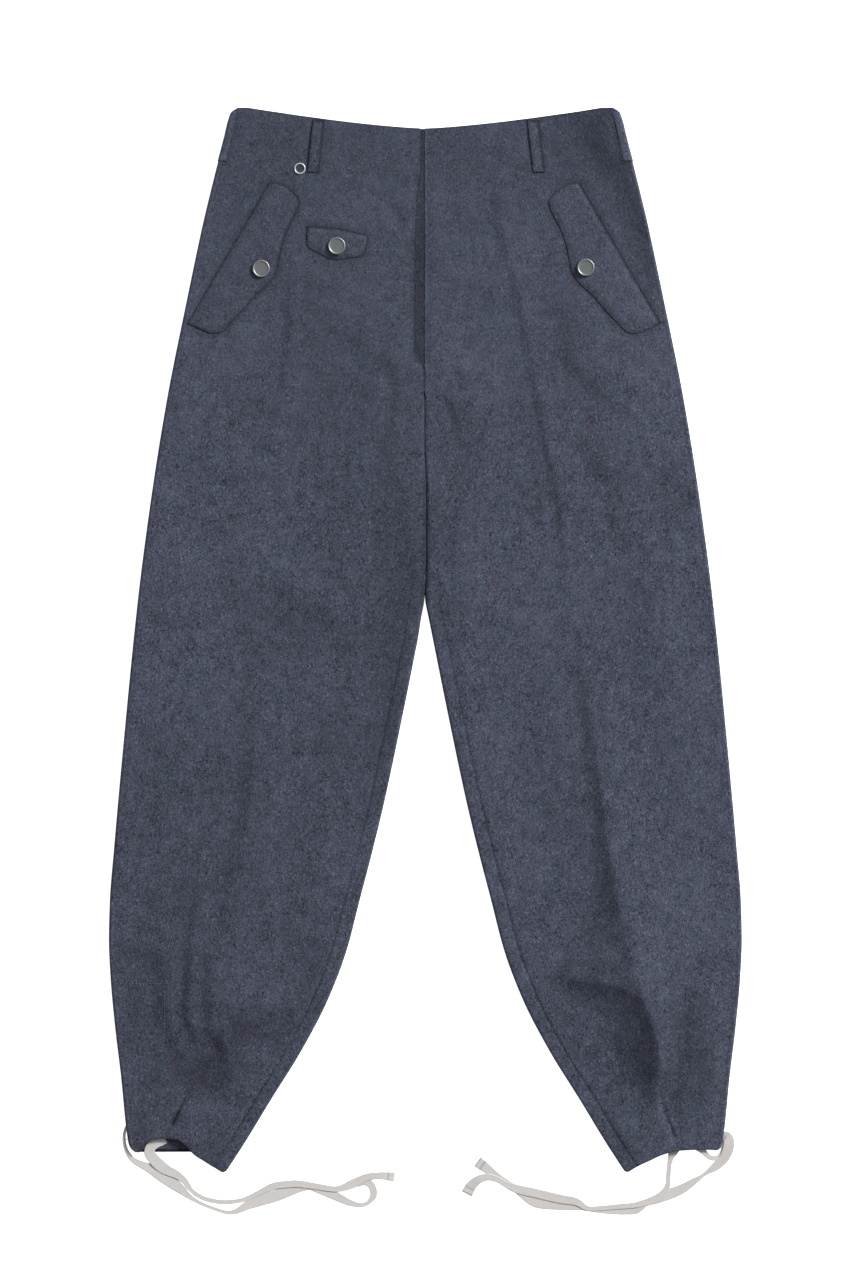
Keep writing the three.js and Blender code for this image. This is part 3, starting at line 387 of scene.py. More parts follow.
# Ankle tapes, in metres: x, y, height of the lowest line of the tape's middle, and the share of
# its width that shows from above
TAPE_ROUTES = {
    "tape_right_inner": [
        (-0.2595, -0.4985, 0.0024, 0.95), (-0.2635, -0.5005, 0.0024, 1),
        (-0.2695, -0.504, 0.0024, 0.9), (-0.2742, -0.509, 0.0022, 0.85),
        (-0.2748, -0.514, 0.002, 0.9), (-0.2708, -0.5195, 0.0018, 0.95),
        (-0.264, -0.5265, 0.0008, 1), (-0.2565, -0.5315, 0.0008, 0.85),
        (-0.2485, -0.535, 0.0008, 0.72), (-0.24, -0.5415, 0.0004, 0.55),
        (-0.2335, -0.5505, 0.0003, 0.4), (-0.226, -0.5565, 0.0003, 0.38),
        (-0.2165, -0.5605, 0.0003, 0.38), (-0.2015, -0.5628, 0.0003, 0.38),
        (-0.1835, -0.5612, 0.0003, 0.36), (-0.1672, -0.5545, 0.0004, 0.45),
        (-0.1511, -0.547, 0.0008, 0.6), (-0.137, -0.545, 0.0008, 0.62),
        (-0.1263, -0.5446, 0.0008, 0.62), (-0.1065, -0.5475, 0.0008, 0.55),
        (-0.0871, -0.5498, 0.0008, 0.5), (-0.0717, -0.5446, 0.0008, 0.75),
        (-0.0575, -0.538, 0.0008, 0.62), (-0.0445, -0.5365, 0.0008, 0.62),
        (-0.0295, -0.5378, 0.0003, 0.8),
    ],
    "tape_right_outer": [
        (-0.2955, -0.4845, 0.0004, 0.3), (-0.2978, -0.4875, 0.0004, 0.24),
        (-0.2996, -0.4925, 0.0004, 0.24), (-0.3004, -0.4985, 0.0004, 0.26),
        (-0.2999, -0.505, 0.0004, 0.3), (-0.2978, -0.512, 0.0004, 0.34),
        (-0.2945, -0.5175, 0.0004, 0.42), (-0.2895, -0.522, 0.0004, 0.5),
        (-0.2815, -0.526, 0.0006, 0.65), (-0.2745, -0.5295, 0.0003, 0.8),
        (-0.2645, -0.5355, 0.0003, 1), (-0.2505, -0.545, 0.0003, 0.95),
        (-0.2425, -0.551, 0.0003, 0.78), (-0.2365, -0.5563, 0.0003, 0.5),
        (-0.2295, -0.561, 0.0003, 0.34), (-0.2205, -0.5655, 0.0003, 0.3),
        (-0.2015, -0.5723, 0.0003, 0.3), (-0.194, -0.5733, 0.0003, 0.36),
        (-0.1865, -0.5715, 0.0003, 0.5), (-0.1775, -0.5665, 0.0003, 0.75),
        (-0.1645, -0.5615, 0.0003, 0.95), (-0.1455, -0.5555, 0.0003, 1),
        (-0.1245, -0.548, 0.0003, 0.85), (-0.1145, -0.547, 0.0003, 0.7),
        (-0.1075, -0.5495, 0.0003, 0.7), (-0.0885, -0.557, 0.0003, 0.75),
        (-0.0745, -0.5635, 0.0003, 0.55), (-0.0635, -0.566, 0.0003, 0.38),
        (-0.0555, -0.563, 0.0003, 0.38), (-0.0507, -0.5555, 0.0003, 0.6),
        (-0.0525, -0.547, 0.0003, 0.62), (-0.0595, -0.542, 0.0003, 0.7),
        (-0.0675, -0.5435, 0.0003, 0.75),
    ],
    "tape_left_inner": [
        (0.2525, -0.506, 0.0016, 0.9), (0.2485, -0.513, 0.0016, 0.75),
        (0.2455, -0.522, 0.0012, 0.42), (0.244, -0.536, 0.0008, 0.4), (0.243, -0.547, 0.0008, 0.45),
        (0.2385, -0.5545, 0.0008, 0.6), (0.229, -0.5605, 0.0008, 0.65),
        (0.2125, -0.5655, 0.0008, 0.5), (0.1935, -0.5675, 0.0008, 0.45),
        (0.1755, -0.569, 0.0008, 0.42), (0.1635, -0.5693, 0.0008, 0.42),
        (0.1515, -0.5625, 0.0008, 0.66), (0.137, -0.56, 0.0008, 0.76),
        (0.111, -0.554, 0.0008, 0.78), (0.0905, -0.5492, 0.0008, 0.72),
        (0.08, -0.5445, 0.0008, 0.5), (0.0715, -0.5398, 0.0008, 0.5), (0.0615, -0.538, 0.0008, 0.6),
        (0.053, -0.5412, 0.0008, 0.75), (0.0465, -0.5475, 0.0003, 0.9),
        (0.0425, -0.5548, 0.0003, 0.98),
    ],
    "tape_left_outer": [
        (0.2735, -0.5065, 0.0022, 0.85), (0.279, -0.5125, 0.0018, 0.5),
        (0.2845, -0.5178, 0.0012, 0.42), (0.2905, -0.519, 0.0008, 0.42),
        (0.296, -0.516, 0.0004, 0.4), (0.2982, -0.51, 0.0004, 0.3), (0.2978, -0.5045, 0.0004, 0.32),
        (0.2978, -0.4995, 0.0004, 0.4), (0.2995, -0.4965, 0.0007, 0.6),
        (0.3018, -0.4962, 0.0012, 0.76), (0.304, -0.4995, 0.0017, 0.86),
        (0.3045, -0.5048, 0.0019, 0.92), (0.3029, -0.5122, 0.0016, 0.92),
        (0.2988, -0.5202, 0.0011, 0.82), (0.2905, -0.5278, 0.0007, 0.7),
        (0.2805, -0.5348, 0.0003, 0.32), (0.269, -0.5428, 0.0003, 0.6),
        (0.2575, -0.5498, 0.0003, 0.82), (0.2465, -0.5545, 0.0003, 0.9),
        (0.2315, -0.5612, 0.0003, 0.62), (0.222, -0.5642, 0.0003, 0.5),
        (0.2125, -0.57, 0.0003, 0.75), (0.201, -0.5708, 0.0003, 0.8),
        (0.1805, -0.5708, 0.0003, 0.62), (0.1655, -0.57, 0.0003, 0.42),
        (0.156, -0.5672, 0.0003, 0.68), (0.137, -0.565, 0.0003, 1), (0.111, -0.5625, 0.0003, 0.95),
        (0.0985, -0.5545, 0.0003, 0.8), (0.089, -0.5478, 0.0003, 0.62),
        (0.0805, -0.5425, 0.0003, 0.55), (0.0715, -0.5365, 0.0003, 0.65),
        (0.0625, -0.5295, 0.0003, 0.82), (0.053, -0.5225, 0.0003, 0.95),
    ],
}
TAPE_HEM = 6.5                # how far from a loose end its hem is stitched

# Rows of stitching on the fronts, as points x, y
STITCH_LENGTH = 2.5
STITCH_PITCH = 3.5
STITCH_THICK = 0.42
STITCH_ROWS = [
    [(36.5, 503), (36.6, 420), (36.2, 345), (31, 305), (18, 282), (4, 272)],
    [(-300.5, -338), (-265.5, -338)],
    [(-300.5, -344), (-265.5, -344)],
    [(-301.5, -322), (-297, -420), (-290, -486)],
    [(-259.5, -351), (-260, -390), (-262, -421)],
    [(262.5, -341), (301.5, -341)],
    [(262.5, -347), (301.5, -347)],
    [(301.5, -377), (296, -491)],
    [(259.5, -416), (259.8, -478)],
    [(193.5, -486), (216, -492), (240.5, -496)],
    [(-300, -500), (-284, -498)],
]
WAIST_STITCH_DROP = 47.0      # how far under the waist's edge its row runs, and from where to where
WAIST_STITCH_RUNS = ((-190.0, -18.0), (4.0, 190.0))

# Stage
FLOOR_HALF = 4000.0
FLOOR_DROP = 0.2
PICTURE_HEIGHT = 1.279        # metres of floor that the camera sees from top to bottom
FILM = 36.0
CAMERA_SHIFT = 0.0005
SUN_WIDTH = math.radians(16)
SUN_HEIGHT = math.radians(28)


# ---------------------------------------------------------------- small helpers

def lerp(a, b, t):
    """From a to b in a straight line as t goes from 0 to 1."""
    return a + (b - a) * t


def ease(t):
    """Smooth step: 3t squared less 2t cubed, held to 0 and 1 outside."""
    s = np.clip(t, 0.0, 1.0)
    return s * s * (3.0 - 2.0 * s)


def smooth_read(table, at):
    """Cubic through a table's rows. A row's slope is the harmonic mean of the chords beside it,
    or nothing where they turn, so that the curve never passes beyond its rows."""
    place, value = table[:, 0], table[:, 1]
    chord = np.diff(value) / np.diff(place)
    before, after = chord[:-1], chord[1:]
    both = before * after > 0
    inside = np.where(both, 2 * before * after / np.where(both, before + after, 1.0), 0.0)
    slope = np.concatenate([chord[:1], inside, chord[-1:]])
    at = np.clip(at, place[0], place[-1])
    i = np.clip(np.searchsorted(place, at) - 1, 0, len(place) - 2)
    span = place[i + 1] - place[i]
    t = (at - place[i]) / span
    rise = t * t * (3 - 2 * t)
    return (lerp(value[i], value[i + 1], rise)
            + span * slope[i] * t * (1 - t) ** 2 - span * slope[i + 1] * t * t * (1 - t))


def outer_edge(side, y):
    """The garment's outer edge: its table, moved out on the wearer's left."""
    return smooth_read(OUTER_EDGE, y) + (OUTER_MORE if side > 0 else 0)


def inner_edge(side, y):
    """A leg's inner edge, with the lean of the middle line between the thighs."""
    lean = smooth_read(CENTRE_LEAN, y) * ease((y - 20) / 24)
    more = INNER_MORE * ease((44 - y) / 50) if side < 0 else 0
    return smooth_read(INNER_EDGE, y) + side * lean - more


def inseam_wrap(y):
    """How far the back comes onto the front at the inside leg, read in straight lines."""
    return np.interp(y, INSEAM_WRAP[:, 0], INSEAM_WRAP[:, 1])


def legness(y):
    """0 in the body, 1 in the legs."""
    return ease((CROTCH_Y - y) / CROTCH_RISE)


def waist_curve(d):
    """Height of the waist: its top less a dip, which shrinks with a power of the distance."""
    share = np.minimum(np.abs(d) / WAIST_FLAT_FROM, 1.0)
    return WAIST_Y - WAIST_DIP * (1.0 - share ** WAIST_POWER)


def fold_sum(folds, x, y):
    """Sum of folds. A fold's height at a point is its rise at the nearest place on its line, times
    e to the minus distance over reach to a power. Reach differs on its two sides, and the power
    goes from 2 on the longer side to 1.5 on a much shorter one, whose crest is then sharper."""
    total = np.zeros(np.broadcast(x, y).shape)
    for fold in folds:
        nearest = np.full(total.shape, np.inf)
        height = np.zeros(total.shape)
        for a, b in zip(fold, fold[1:]):
            ax, ay, a_rise, a_left, a_right = *a[:4], a[-1]
            bx, by, b_rise, b_left, b_right = *b[:4], b[-1]
            dx, dy = bx - ax, by - ay
            t = np.clip(((x - ax) * dx + (y - ay) * dy) / (dx * dx + dy * dy), 0, 1)
            away = np.hypot(x - (ax + dx * t), y - (ay + dy * t))
            turn = (dx * (y - ay) - dy * (x - ax)) / (math.hypot(dx, dy) * np.maximum(away, 1e-6))
            mix = 0.5 + 0.5 * np.clip(turn, -1, 1)
            right, left = lerp(a_right, b_right, t), lerp(a_left, b_left, t)
            reach = lerp(right, left, ease(mix))
            power = 2 - 0.5 * np.clip(1.5 - 1.5 * reach / np.maximum(left, right), 0, 1)
            closer = away < nearest
            nearest = np.where(closer, away, nearest)
            here = lerp(a_rise, b_rise, t) * np.exp(-(away / reach) ** power)
            height = np.where(closer, here, height)
        total += height
    return total


def unevenness(x, y, seed, size, height, count=9):
    """Sum of long sine waves that run in seeded directions, with lengths about the given size."""
    dice = np.random.default_rng(seed)
    angle = dice.uniform(0, math.pi, count)
    length = size * dice.uniform(0.6, 1.7, count)
    phase = dice.uniform(0, 2 * math.pi, count)
    total = np.zeros(np.broadcast(x, y).shape)
    for a, span, shift in zip(angle, length, phase):
        total += np.sin(2 * math.pi * (x * math.cos(a) + y * math.sin(a)) / span + shift)
    return total * height / math.sqrt(count)


def upper_middle(side, d, y, fly=True):
    """Height of the middle of the upper layer: level cloth on the lower one, which swells towards
    the middle of each leg, plus its folds and a slight unevenness, faded out at folded edges."""
    strength = bpy.context.scene.trousers_cloth.fold_strength
    run = lerp(SWELL_RUN, MOUTH_RUN, ease((y - MOUTH_FROM) / (MOUTH_TO - MOUTH_FROM)))
    inner = inner_edge(side, y)
    from_outer = outer_edge(side, y) - d - FOLD_OUTER
    from_inner = d - inner - FOLD_OUTER
    body = ease((y - DIP_TO) / (DIP_FROM - DIP_TO))
    swell = SWELL * ease(from_outer / run) * lerp(ease(from_inner / run), 1, body)
    fade = ease(from_outer / CREASE_RUN) * lerp(ease(from_inner / CREASE_RUN), 1, body)
    x = side * d
    shape = fold_sum(FOLDS, x, y) * strength
    shape += sum(unevenness(x, y, *wave) for wave in UPPER_WAVES)
    middle = CLOTH * 1.5 + EDGE_GAP + swell + fade * shape
    if fly and side > 0:
        along = ease((y - FLY_LIFT_FROM) / FLY_LIFT_RISE)
        middle = middle + FLY_LIFT * ease(1 - d / FLY_LIFT_RUN) * along
    above = (middle - LOWEST_MIDDLE) / LOWEST_SOFTNESS
    return LOWEST_MIDDLE + LOWEST_SOFTNESS * np.logaddexp(0, above)


def top_face(x, y):
    """Height of the fronts' outer face, for what lies on it."""
    left = upper_middle(1, np.abs(x), y)
    right = upper_middle(-1, np.abs(x), y)
    return np.where(np.asarray(x) > 0, left, right) + CLOTH / 2


def cut_edge(distance):
    """Share of the full thickness at a distance from a cut edge: a quarter of a circle, cut off a
    little before it closes."""
    t = np.clip(1 - distance / EDGE_ROUND, 0, 1)
    return np.sqrt(1 - 0.9 * t * t)


def painted_light_and_shade_at(x, y):
    """Painted shade and light in patches, and painted shade round the flaps and beside the front
    loops.
    """
    hip = FLAP_FREE_EDGE + FLAP_SEWN_EDGE[::-1]
    watch = WATCH_FREE_EDGE + WATCH_SEWN_EDGE[::-1]
    shade = [[(side * d, at, FLAP_PAINTED_SHADE, FLAP_PAINTED_SHADE_REACH) for d, at in line + line[:1]]
             for side, line in ((1, hip), (-1, hip), (-1, watch))]
    shade += [[(top + aside, LOOP_TOP, LOOP_PAINTED_SHADE, LOOP_PAINTED_SHADE_REACH),
               (foot + aside, LOOP_FOOT, LOOP_PAINTED_SHADE, LOOP_PAINTED_SHADE_REACH)]
              for top, foot in FRONT_LOOPS.values() for aside in (-LOOP_WIDTH / 2, LOOP_WIDTH / 2)]
    return fold_sum(PAINTED_LIGHT_AND_SHADE + shade, x, y)


def seam_dip(distance):
    """Depth of a seam: e to the minus square of the distance over its reach."""
    return SEAM_DIP * np.exp(-(distance / SEAM_DIP_REACH) ** 2)


def dark_near(distance, reach=EDGE_DARK_REACH):
    """1 at an edge or seam: e to the minus square of the distance over its reach."""
    return np.exp(-(distance / reach) ** 2)


def inseam_mark(side, y):
    """How plainly the inseam shows, read from its table in straight lines."""
    return np.interp(y, INSEAM_MARK[side][:, 0], INSEAM_MARK[side][:, 1])


def leg_shade(side, y):
    """How much darker the lower part of the wearer's right leg is."""
    return (side < 0) * LOWER_LEG_SHADE * ease((LOWER_LEG_FROM - y) / LOWER_LEG_RUN)


SPAN_STEPS = 40


def through(points, count):
    """Curve through the points: each span is a cubic whose slopes come from its neighbours, spaced
    by the square root of their distance, then shared out evenly by its length."""
    p = np.asarray(points, float)
    p = np.vstack([2 * p[0] - p[1], p, 2 * p[-1] - p[-2]])
    gap = np.maximum(np.linalg.norm(np.diff(p[:, :2], axis=0), axis=1), 1e-9) ** 0.5
    spans = len(p) - 3
    t = np.linspace(0, 1, SPAN_STEPS)[:, None]
    rows = []
    for i in range(1, spans + 1):
        g0, g1, g2 = gap[i - 1], gap[i], gap[i + 1]
        p0, p1, p2, p3 = p[i - 1:i + 3]
        m1 = ((p1 - p0) / g0 - (p2 - p0) / (g0 + g1) + (p2 - p1) / g1) * g1
        m2 = ((p2 - p1) / g1 - (p3 - p1) / (g1 + g2) + (p3 - p2) / g2) * g1
        rows.append((2 * t**3 - 3 * t**2 + 1) * p1 + (t**3 - 2 * t**2 + t) * m1
                    + (3 * t**2 - 2 * t**3) * p2 + (t**3 - t**2) * m2)
    line = np.vstack(rows)
    step = np.linalg.norm(np.diff(line[:, :2], axis=0), axis=1)
    run = np.concatenate([[0], np.cumsum(step)])
    keep = np.concatenate([[True], step > 1e-9])
    at = np.linspace(0, run[-1], count)
    return np.column_stack([np.interp(at, run[keep], line[keep, k]) for k in range(p.shape[1])])


# ---------------------------------------------------------------- meshes

def grid_faces(rows, columns, start=0, wrap=False):
    """Quads of a grid whose points are numbered row by row."""
    across = columns if wrap else columns - 1
    r, c = np.meshgrid(np.arange(rows - 1), np.arange(across), indexing="ij")
    n = (c + 1) % columns
    a, b = r * columns + c, r * columns + n
    return np.stack([a, a + columns, b + columns, b], axis=-1).reshape(-1, 4) + start


def pole_caps(rows, count, poles_at):
    """Triangles that close the first and the last ring of a grid on the two points at its end."""
    k = np.arange(count)
    n = (k + 1) % count
    last = (rows - 1) * count
    return np.vstack([np.column_stack([k, n, np.full(count, poles_at)]),
                      np.column_stack([n + last, k + last, np.full(count, poles_at + 1)])])


def volume_of(points, faces):
    """Signed volume: a sixth of the sum of the corners' triple products over fans of the faces."""
    total = 0.0
    for k in range(1, faces.shape[1] - 1):
        a, b, c = points[faces[:, 0]], points[faces[:, k]], points[faces[:, k + 1]]
        total += np.einsum("ij,ij->", a, np.cross(b, c))
    return total / 6


def new_piece(name, points, quads, triangles=None, materials=(), face_material=None, uv=None,
              edge=None):
    """A piece from points in millimetres and its faces, turned so that they point outwards. Edge
    says how dark each point is: 0 is the plain cloth and less than 0 is lighter. On the wool it is
    painted shade, and painted light below 0; on the tapes it is the grey line of a hem."""
    points = np.asarray(points, float).reshape(-1, 3) * MM
    groups = [np.asarray(quads)] if triangles is None else [np.asarray(quads), np.asarray(triangles)]
    if sum(volume_of(points, g) for g in groups) < 0:
        groups = [g[:, ::-1] for g in groups]
    loops = np.concatenate([g.ravel() for g in groups]).astype(np.int32)
    sizes = np.concatenate([np.full(len(g), g.shape[1]) for g in groups])
    starts = np.concatenate([[0], np.cumsum(sizes)[:-1]]).astype(np.int32)
    mesh = bpy.data.meshes.new(name)
    mesh.vertices.add(len(points))
    mesh.vertices.foreach_set("co", points.astype(np.float32).ravel())
    mesh.loops.add(len(loops))
    mesh.loops.foreach_set("vertex_index", loops)
    mesh.polygons.add(len(sizes))
    mesh.polygons.foreach_set("loop_start", starts)
    for material in materials:
        mesh.materials.append(material)
    if face_material is not None:
        mesh.polygons.foreach_set("material_index", np.asarray(face_material, np.int32))
    if uv is not None:
        layer = mesh.uv_layers.new(name="cloth")
        layer.data.foreach_set("uv", np.asarray(uv, np.float32)[loops].ravel())
    if edge is not None:
        layer = mesh.attributes.new("edge", "FLOAT", "POINT")
        layer.data.foreach_set("value", np.asarray(edge, np.float32))
    mesh.update(calc_edges=True)
    if mesh.validate():
        raise RuntimeError(name + " has faces that don't hold together")
    mesh.shade_smooth()
    piece = bpy.data.objects.new(name, mesh)
    bpy.context.scene.collection.objects.link(piece)
    return piece


def shell(name, face, lining, materials, edge, lining_edge=None):
    """A closed wall from two grids of points, joined round their rims."""
    rows, columns = face.shape[:2]
    count = rows * columns
    grid = np.arange(count).reshape(rows, columns)
    rim = np.concatenate([grid[0, :-1], grid[:-1, -1], grid[-1, :0:-1], grid[:0:-1, 0]])
    ahead = np.roll(rim, -1)
    quads = np.vstack([grid_faces(rows, columns), grid_faces(rows, columns, count)[:, ::-1],
                       np.column_stack([rim, ahead, ahead + count, rim + count])])
    edge = np.broadcast_to(edge, (rows, columns))
    lining_edge = edge if lining_edge is None else np.broadcast_to(lining_edge, (rows, columns))
    return new_piece(name, np.vstack([face.reshape(-1, 3), lining.reshape(-1, 3)]), quads,
                     materials=materials, edge=np.concatenate([edge.ravel(), lining_edge.ravel()]))


def slab(name, x, y, top, bottom, side, edge):
    """A closed wall of the wool of one side between two heights over the same points."""
    return shell(name, np.stack([x, y, top], axis=-1), np.stack([x, y, bottom], axis=-1),
                 [wool("left" if side > 0 else "right")], edge)


def finish_piece(piece, slot, *nodes):
    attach(piece, "root")
    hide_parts(*nodes)
    return piece


# ---------------------------------------------------------------- materials

class Recipe:
    """A material's node tree, with short ways to add and join nodes."""

    def __init__(self, name):
        self.material = bpy.data.materials.new(name)
        self.material.use_nodes = True
        self.tree = self.material.node_tree
        self.shader = self.tree.nodes["Principled BSDF"]

    def set(self, **values):
        for key, value in values.items():
            self.shader.inputs[key.replace("_", " ")].default_value = value

    def add(self, kind, inputs=None, **settings):
        node = self.tree.nodes.new("ShaderNode" + kind)
        for key, value in settings.items():
            setattr(node, key, value)
        for key, value in (inputs or {}).items():
            if hasattr(value, "links"):
                self.tree.links.new(value, node.inputs[key])
            else:
                node.inputs[key].default_value = value
        return node

    def link(self, output, key):
        self.tree.links.new(output, self.shader.inputs[key])

    def scaled(self, coordinates, size, shift=(0, 0, 0), turn=0.0):
        """Coordinates divided by a size in metres along each axis."""
        node = self.add("Mapping", {"Vector": coordinates, "Location": shift,
                                    "Rotation": (0, 0, turn), "Scale": [1 / s for s in size]})
        return node.outputs["Vector"]

    def noise(self, vector, detail=2.0, roughness=0.5):
        node = self.add("TexNoise", {"Vector": vector, "Scale": 1.0, "Detail": detail,
                                     "Roughness": roughness})
        return node.outputs["Fac"]

    def math(self, kind, a, b=0.0, c=0.0):
        return self.add("Math", {0: a, 1: b, 2: c}, operation=kind).outputs[0]

    def spread(self, value, low, high, to_low=0.0, to_high=1.0):
        node = self.add("MapRange", {"Value": value, "From Min": low, "From Max": high,
                                     "To Min": to_low, "To Max": to_high},
                        interpolation_type="SMOOTHSTEP")
        return node.outputs["Result"]

    def tinted(self, first, second, share):
        node = self.add("Mix", data_type="RGBA")
        for socket, value in ((node.inputs[6], (*first, 1)), (node.inputs[7], (*second, 1))):
            socket.default_value = value
        self.tree.links.new(share, node.inputs[0])
        return node.outputs[2]

    def paint(self, colour, value):
        """The base colour: a colour times a value."""
        shade = self.add("VectorMath", {0: colour, "Scale": value}, operation="SCALE")
        self.link(shade.outputs[0], "Base Color")

    def bump(self, height, distance, strength=1.0):
        node = self.add("Bump", {"Height": height, "Distance": distance, "Strength": strength})
        self.link(node.outputs["Normal"], "Normal")


def wool_material(name, tone=1.0):
    """Melton of mixed blue-grey wool: fine flecks of light and dark fibre, longer flecks along the
    legs, softer patches between them, painted shade and light read from the edge attribute (darker
    at cut edges, seams, rims and round what lies on the cloth), and a nap in the bump."""
    cloth = bpy.context.scene.trousers_cloth
    colour = np.array(cloth.wool_colour) * tone
    r = Recipe(name)
    place = r.add("TexCoord").outputs["Object"]
    grain = r.noise(r.scaled(place, (0.0010, 0.0013, 0.0010)), 1.0, 0.6)
    fibre = r.noise(r.scaled(place, (0.0020, 0.0034, 0.0020), (6, 2, 1)), 2, 0.6)
    light = r.spread(r.noise(r.scaled(place, (0.0019, 0.0032, 0.0019), (3, 1, 0)), 2), 0.56, 0.72)
    dark = r.spread(r.noise(r.scaled(place, (0.0024, 0.0040, 0.0024), (7, 4, 0)), 2), 0.56, 0.74)
    patch = r.noise(r.scaled(place, (0.010, 0.014, 0.010), (1, 9, 0)), 3, 0.6)
    drift = r.noise(r.scaled(place, (0.06, 0.08, 0.06), (4, 2, 0)), 2)
    hue = r.spread(r.noise(r.scaled(place, (0.005, 0.009, 0.005), (5, 5, 0)), 2), 0.38, 0.62)
    value = r.math("MULTIPLY_ADD", grain, 2.4, -0.26)
    value = r.math("MULTIPLY_ADD", r.math("SUBTRACT", fibre, 0.5), 1.3, value)
    value = r.math("MULTIPLY_ADD", light, 0.75, value)
    value = r.math("MULTIPLY_ADD", dark, -0.38, value)
    value = r.math("MULTIPLY_ADD", r.math("SUBTRACT", patch, 0.5), 0.95, value)
    value = r.math("MULTIPLY_ADD", r.math("SUBTRACT", drift, 0.5), 0.45, value)
    up = r.add("SeparateXYZ", {0: place}).outputs["Y"]
    contrast = r.spread(up, 0.14, 0.34, 1.04, 0.8)
    value = r.math("MULTIPLY_ADD", r.math("SUBTRACT", value, 1.0), contrast, 1.0)
    # Painted shade and light: the edge attribute darkens the colour, and lightens it below 0
    edge = r.add("Attribute", attribute_name="edge").outputs["Fac"]
    left = r.math("MULTIPLY_ADD", edge, -0.62, 1.0)
    value = r.math("MULTIPLY", r.math("MAXIMUM", value, 0.15), left)
    tint = r.tinted(colour * (0.95, 1.02, 1.0), colour * (1.06, 0.98, 1.0), hue)
    r.paint(tint, value)
    nap = r.noise(r.scaled(place, (0.0009, 0.0014, 0.0009), (2, 2, 0)), 4, 0.65)
    height = r.math("MULTIPLY_ADD", nap, 0.6, r.math("MULTIPLY", fibre, 0.5))
    r.bump(height, 0.0006, 0.8)
    r.set(Roughness=0.95, Specular_IOR_Level=0.15, Sheen_Weight=0.06, Sheen_Roughness=0.6)
    r.shader.inputs["Sheen Tint"].default_value = (0.6, 0.65, 0.8, 1)
    return r.material


def tape_material():
    """Undyed cotton tape: a fine plain weave on the tape's own length and width, with slight
    greying in patches and a grey line across it where its hem is stitched."""
    tape = bpy.context.scene.trousers_tape
    r = Recipe("tape_cotton")
    uv = r.add("UVMap", uv_map="cloth").outputs["UV"]
    warp = r.add("TexWave", {"Vector": r.scaled(uv, (0.0009, 1.0, 1.0)), "Scale": 1.0},
                 bands_direction="X").outputs["Fac"]
    weft = r.add("TexWave", {"Vector": r.scaled(uv, (1.0, 0.0011, 1.0)), "Scale": 1.0},
                 bands_direction="Y").outputs["Fac"]
    weave = r.math("MULTIPLY", warp, weft)
    patch = r.noise(r.scaled(uv, (0.008, 0.03, 1.0)), 3, 0.6)
    value = r.math("MULTIPLY_ADD", weave, 0.04, 0.97)
    value = r.math("MULTIPLY_ADD", r.math("SUBTRACT", patch, 0.5), 0.07, value)
    hem = r.add("Attribute", attribute_name="edge").outputs["Fac"]
    value = r.math("MULTIPLY_ADD", hem, -0.35, value)
    r.paint(tuple(tape.tape_colour), value)
    r.bump(weave, 0.00008, 0.4)
    r.set(Roughness=0.9, Specular_IOR_Level=0.2, Sheen_Weight=0.05)
    return r.material


def metal_material(name, colour, roughness, metallic, wear):
    """Metal with fine scratches and dull patches in its gloss and colour."""
    r = Recipe(name)
    place = r.add("TexCoord").outputs["Object"]
    patch = r.noise(r.scaled(place, (0.003, 0.003, 0.003)), 4, 0.6)
    scratch = r.noise(r.scaled(place, (0.0003, 0.004, 0.001), turn=0.6), 2)
    value = r.math("MULTIPLY_ADD", patch, wear, 1 - wear / 2)
    r.paint(colour, value)
    gloss = r.math("MULTIPLY_ADD", r.math("SUBTRACT", scratch, 0.5), 0.3, roughness)
    r.link(gloss, "Roughness")
    r.bump(scratch, 0.00003, 0.4)
    r.set(Metallic=metallic)
    return r.material


def thread_material():
    """Twisted sewing thread, a shade darker than the cloth."""
    colour = tuple(bpy.context.scene.trousers_cloth.thread_colour)
    r = Recipe("sewing_thread")
    place = r.add("TexCoord").outputs["Object"]
    twist = r.noise(r.scaled(place, (0.0004, 0.0004, 0.0004)), 2)
    value = r.math("MULTIPLY_ADD", twist, 0.5, 0.75)
    r.paint(colour, value)
    r.set(Roughness=0.7, Specular_IOR_Level=0.3)
    return r.material


def floor_material():
    """Matt pale floor with a very slight tooth."""
    studio = bpy.context.scene.trousers_studio
    r = Recipe("pale_floor")
    place = r.add("TexCoord").outputs["Object"]
    tooth = r.noise(r.scaled(place, (0.01, 0.01, 0.01)), 2)
    value = r.math("MULTIPLY_ADD", tooth, 0.01, 0.995)
    r.paint(tuple(studio.floor_colour), value)
    r.set(Roughness=1.0, Specular_IOR_Level=0.0, Emission_Strength=0.9)
    r.shader.inputs["Emission Color"].default_value = (1, 1, 1, 1)
    return r.material


def shared(name, maker):
    """A material by name, made the first time that it is asked for."""
    return bpy.data.materials.get(name) or maker()


# Colour factors: the wearer's right a shade darker; the strip under the fly darkened as painted
# shade
WOOL_TONES_AND_PAINTED_SHADE = {"left": 1.0, "right": 0.96, "underlap": 0.56}
# The metals: colour, roughness, how metallic and how worn
METALS = {
    "button_face": ((0.17, 0.185, 0.185), 0.5, 0.6, 0.25),
    "button_rim": ((0.34, 0.35, 0.36), 0.5, 1.0, 0.2),
    "eyelet_ring": ((0.60, 0.60, 0.61), 0.45, 0.5, 0.2),
}


def wool(part):
    """The same cloth, a shade darker on the wearer's right, and darkened as painted shade under the
    fly.
    """
    name = "wool_" + part
    return shared(name, lambda: wool_material(name, WOOL_TONES_AND_PAINTED_SHADE[part]))


# ---------------------------------------------------------------- cut panels

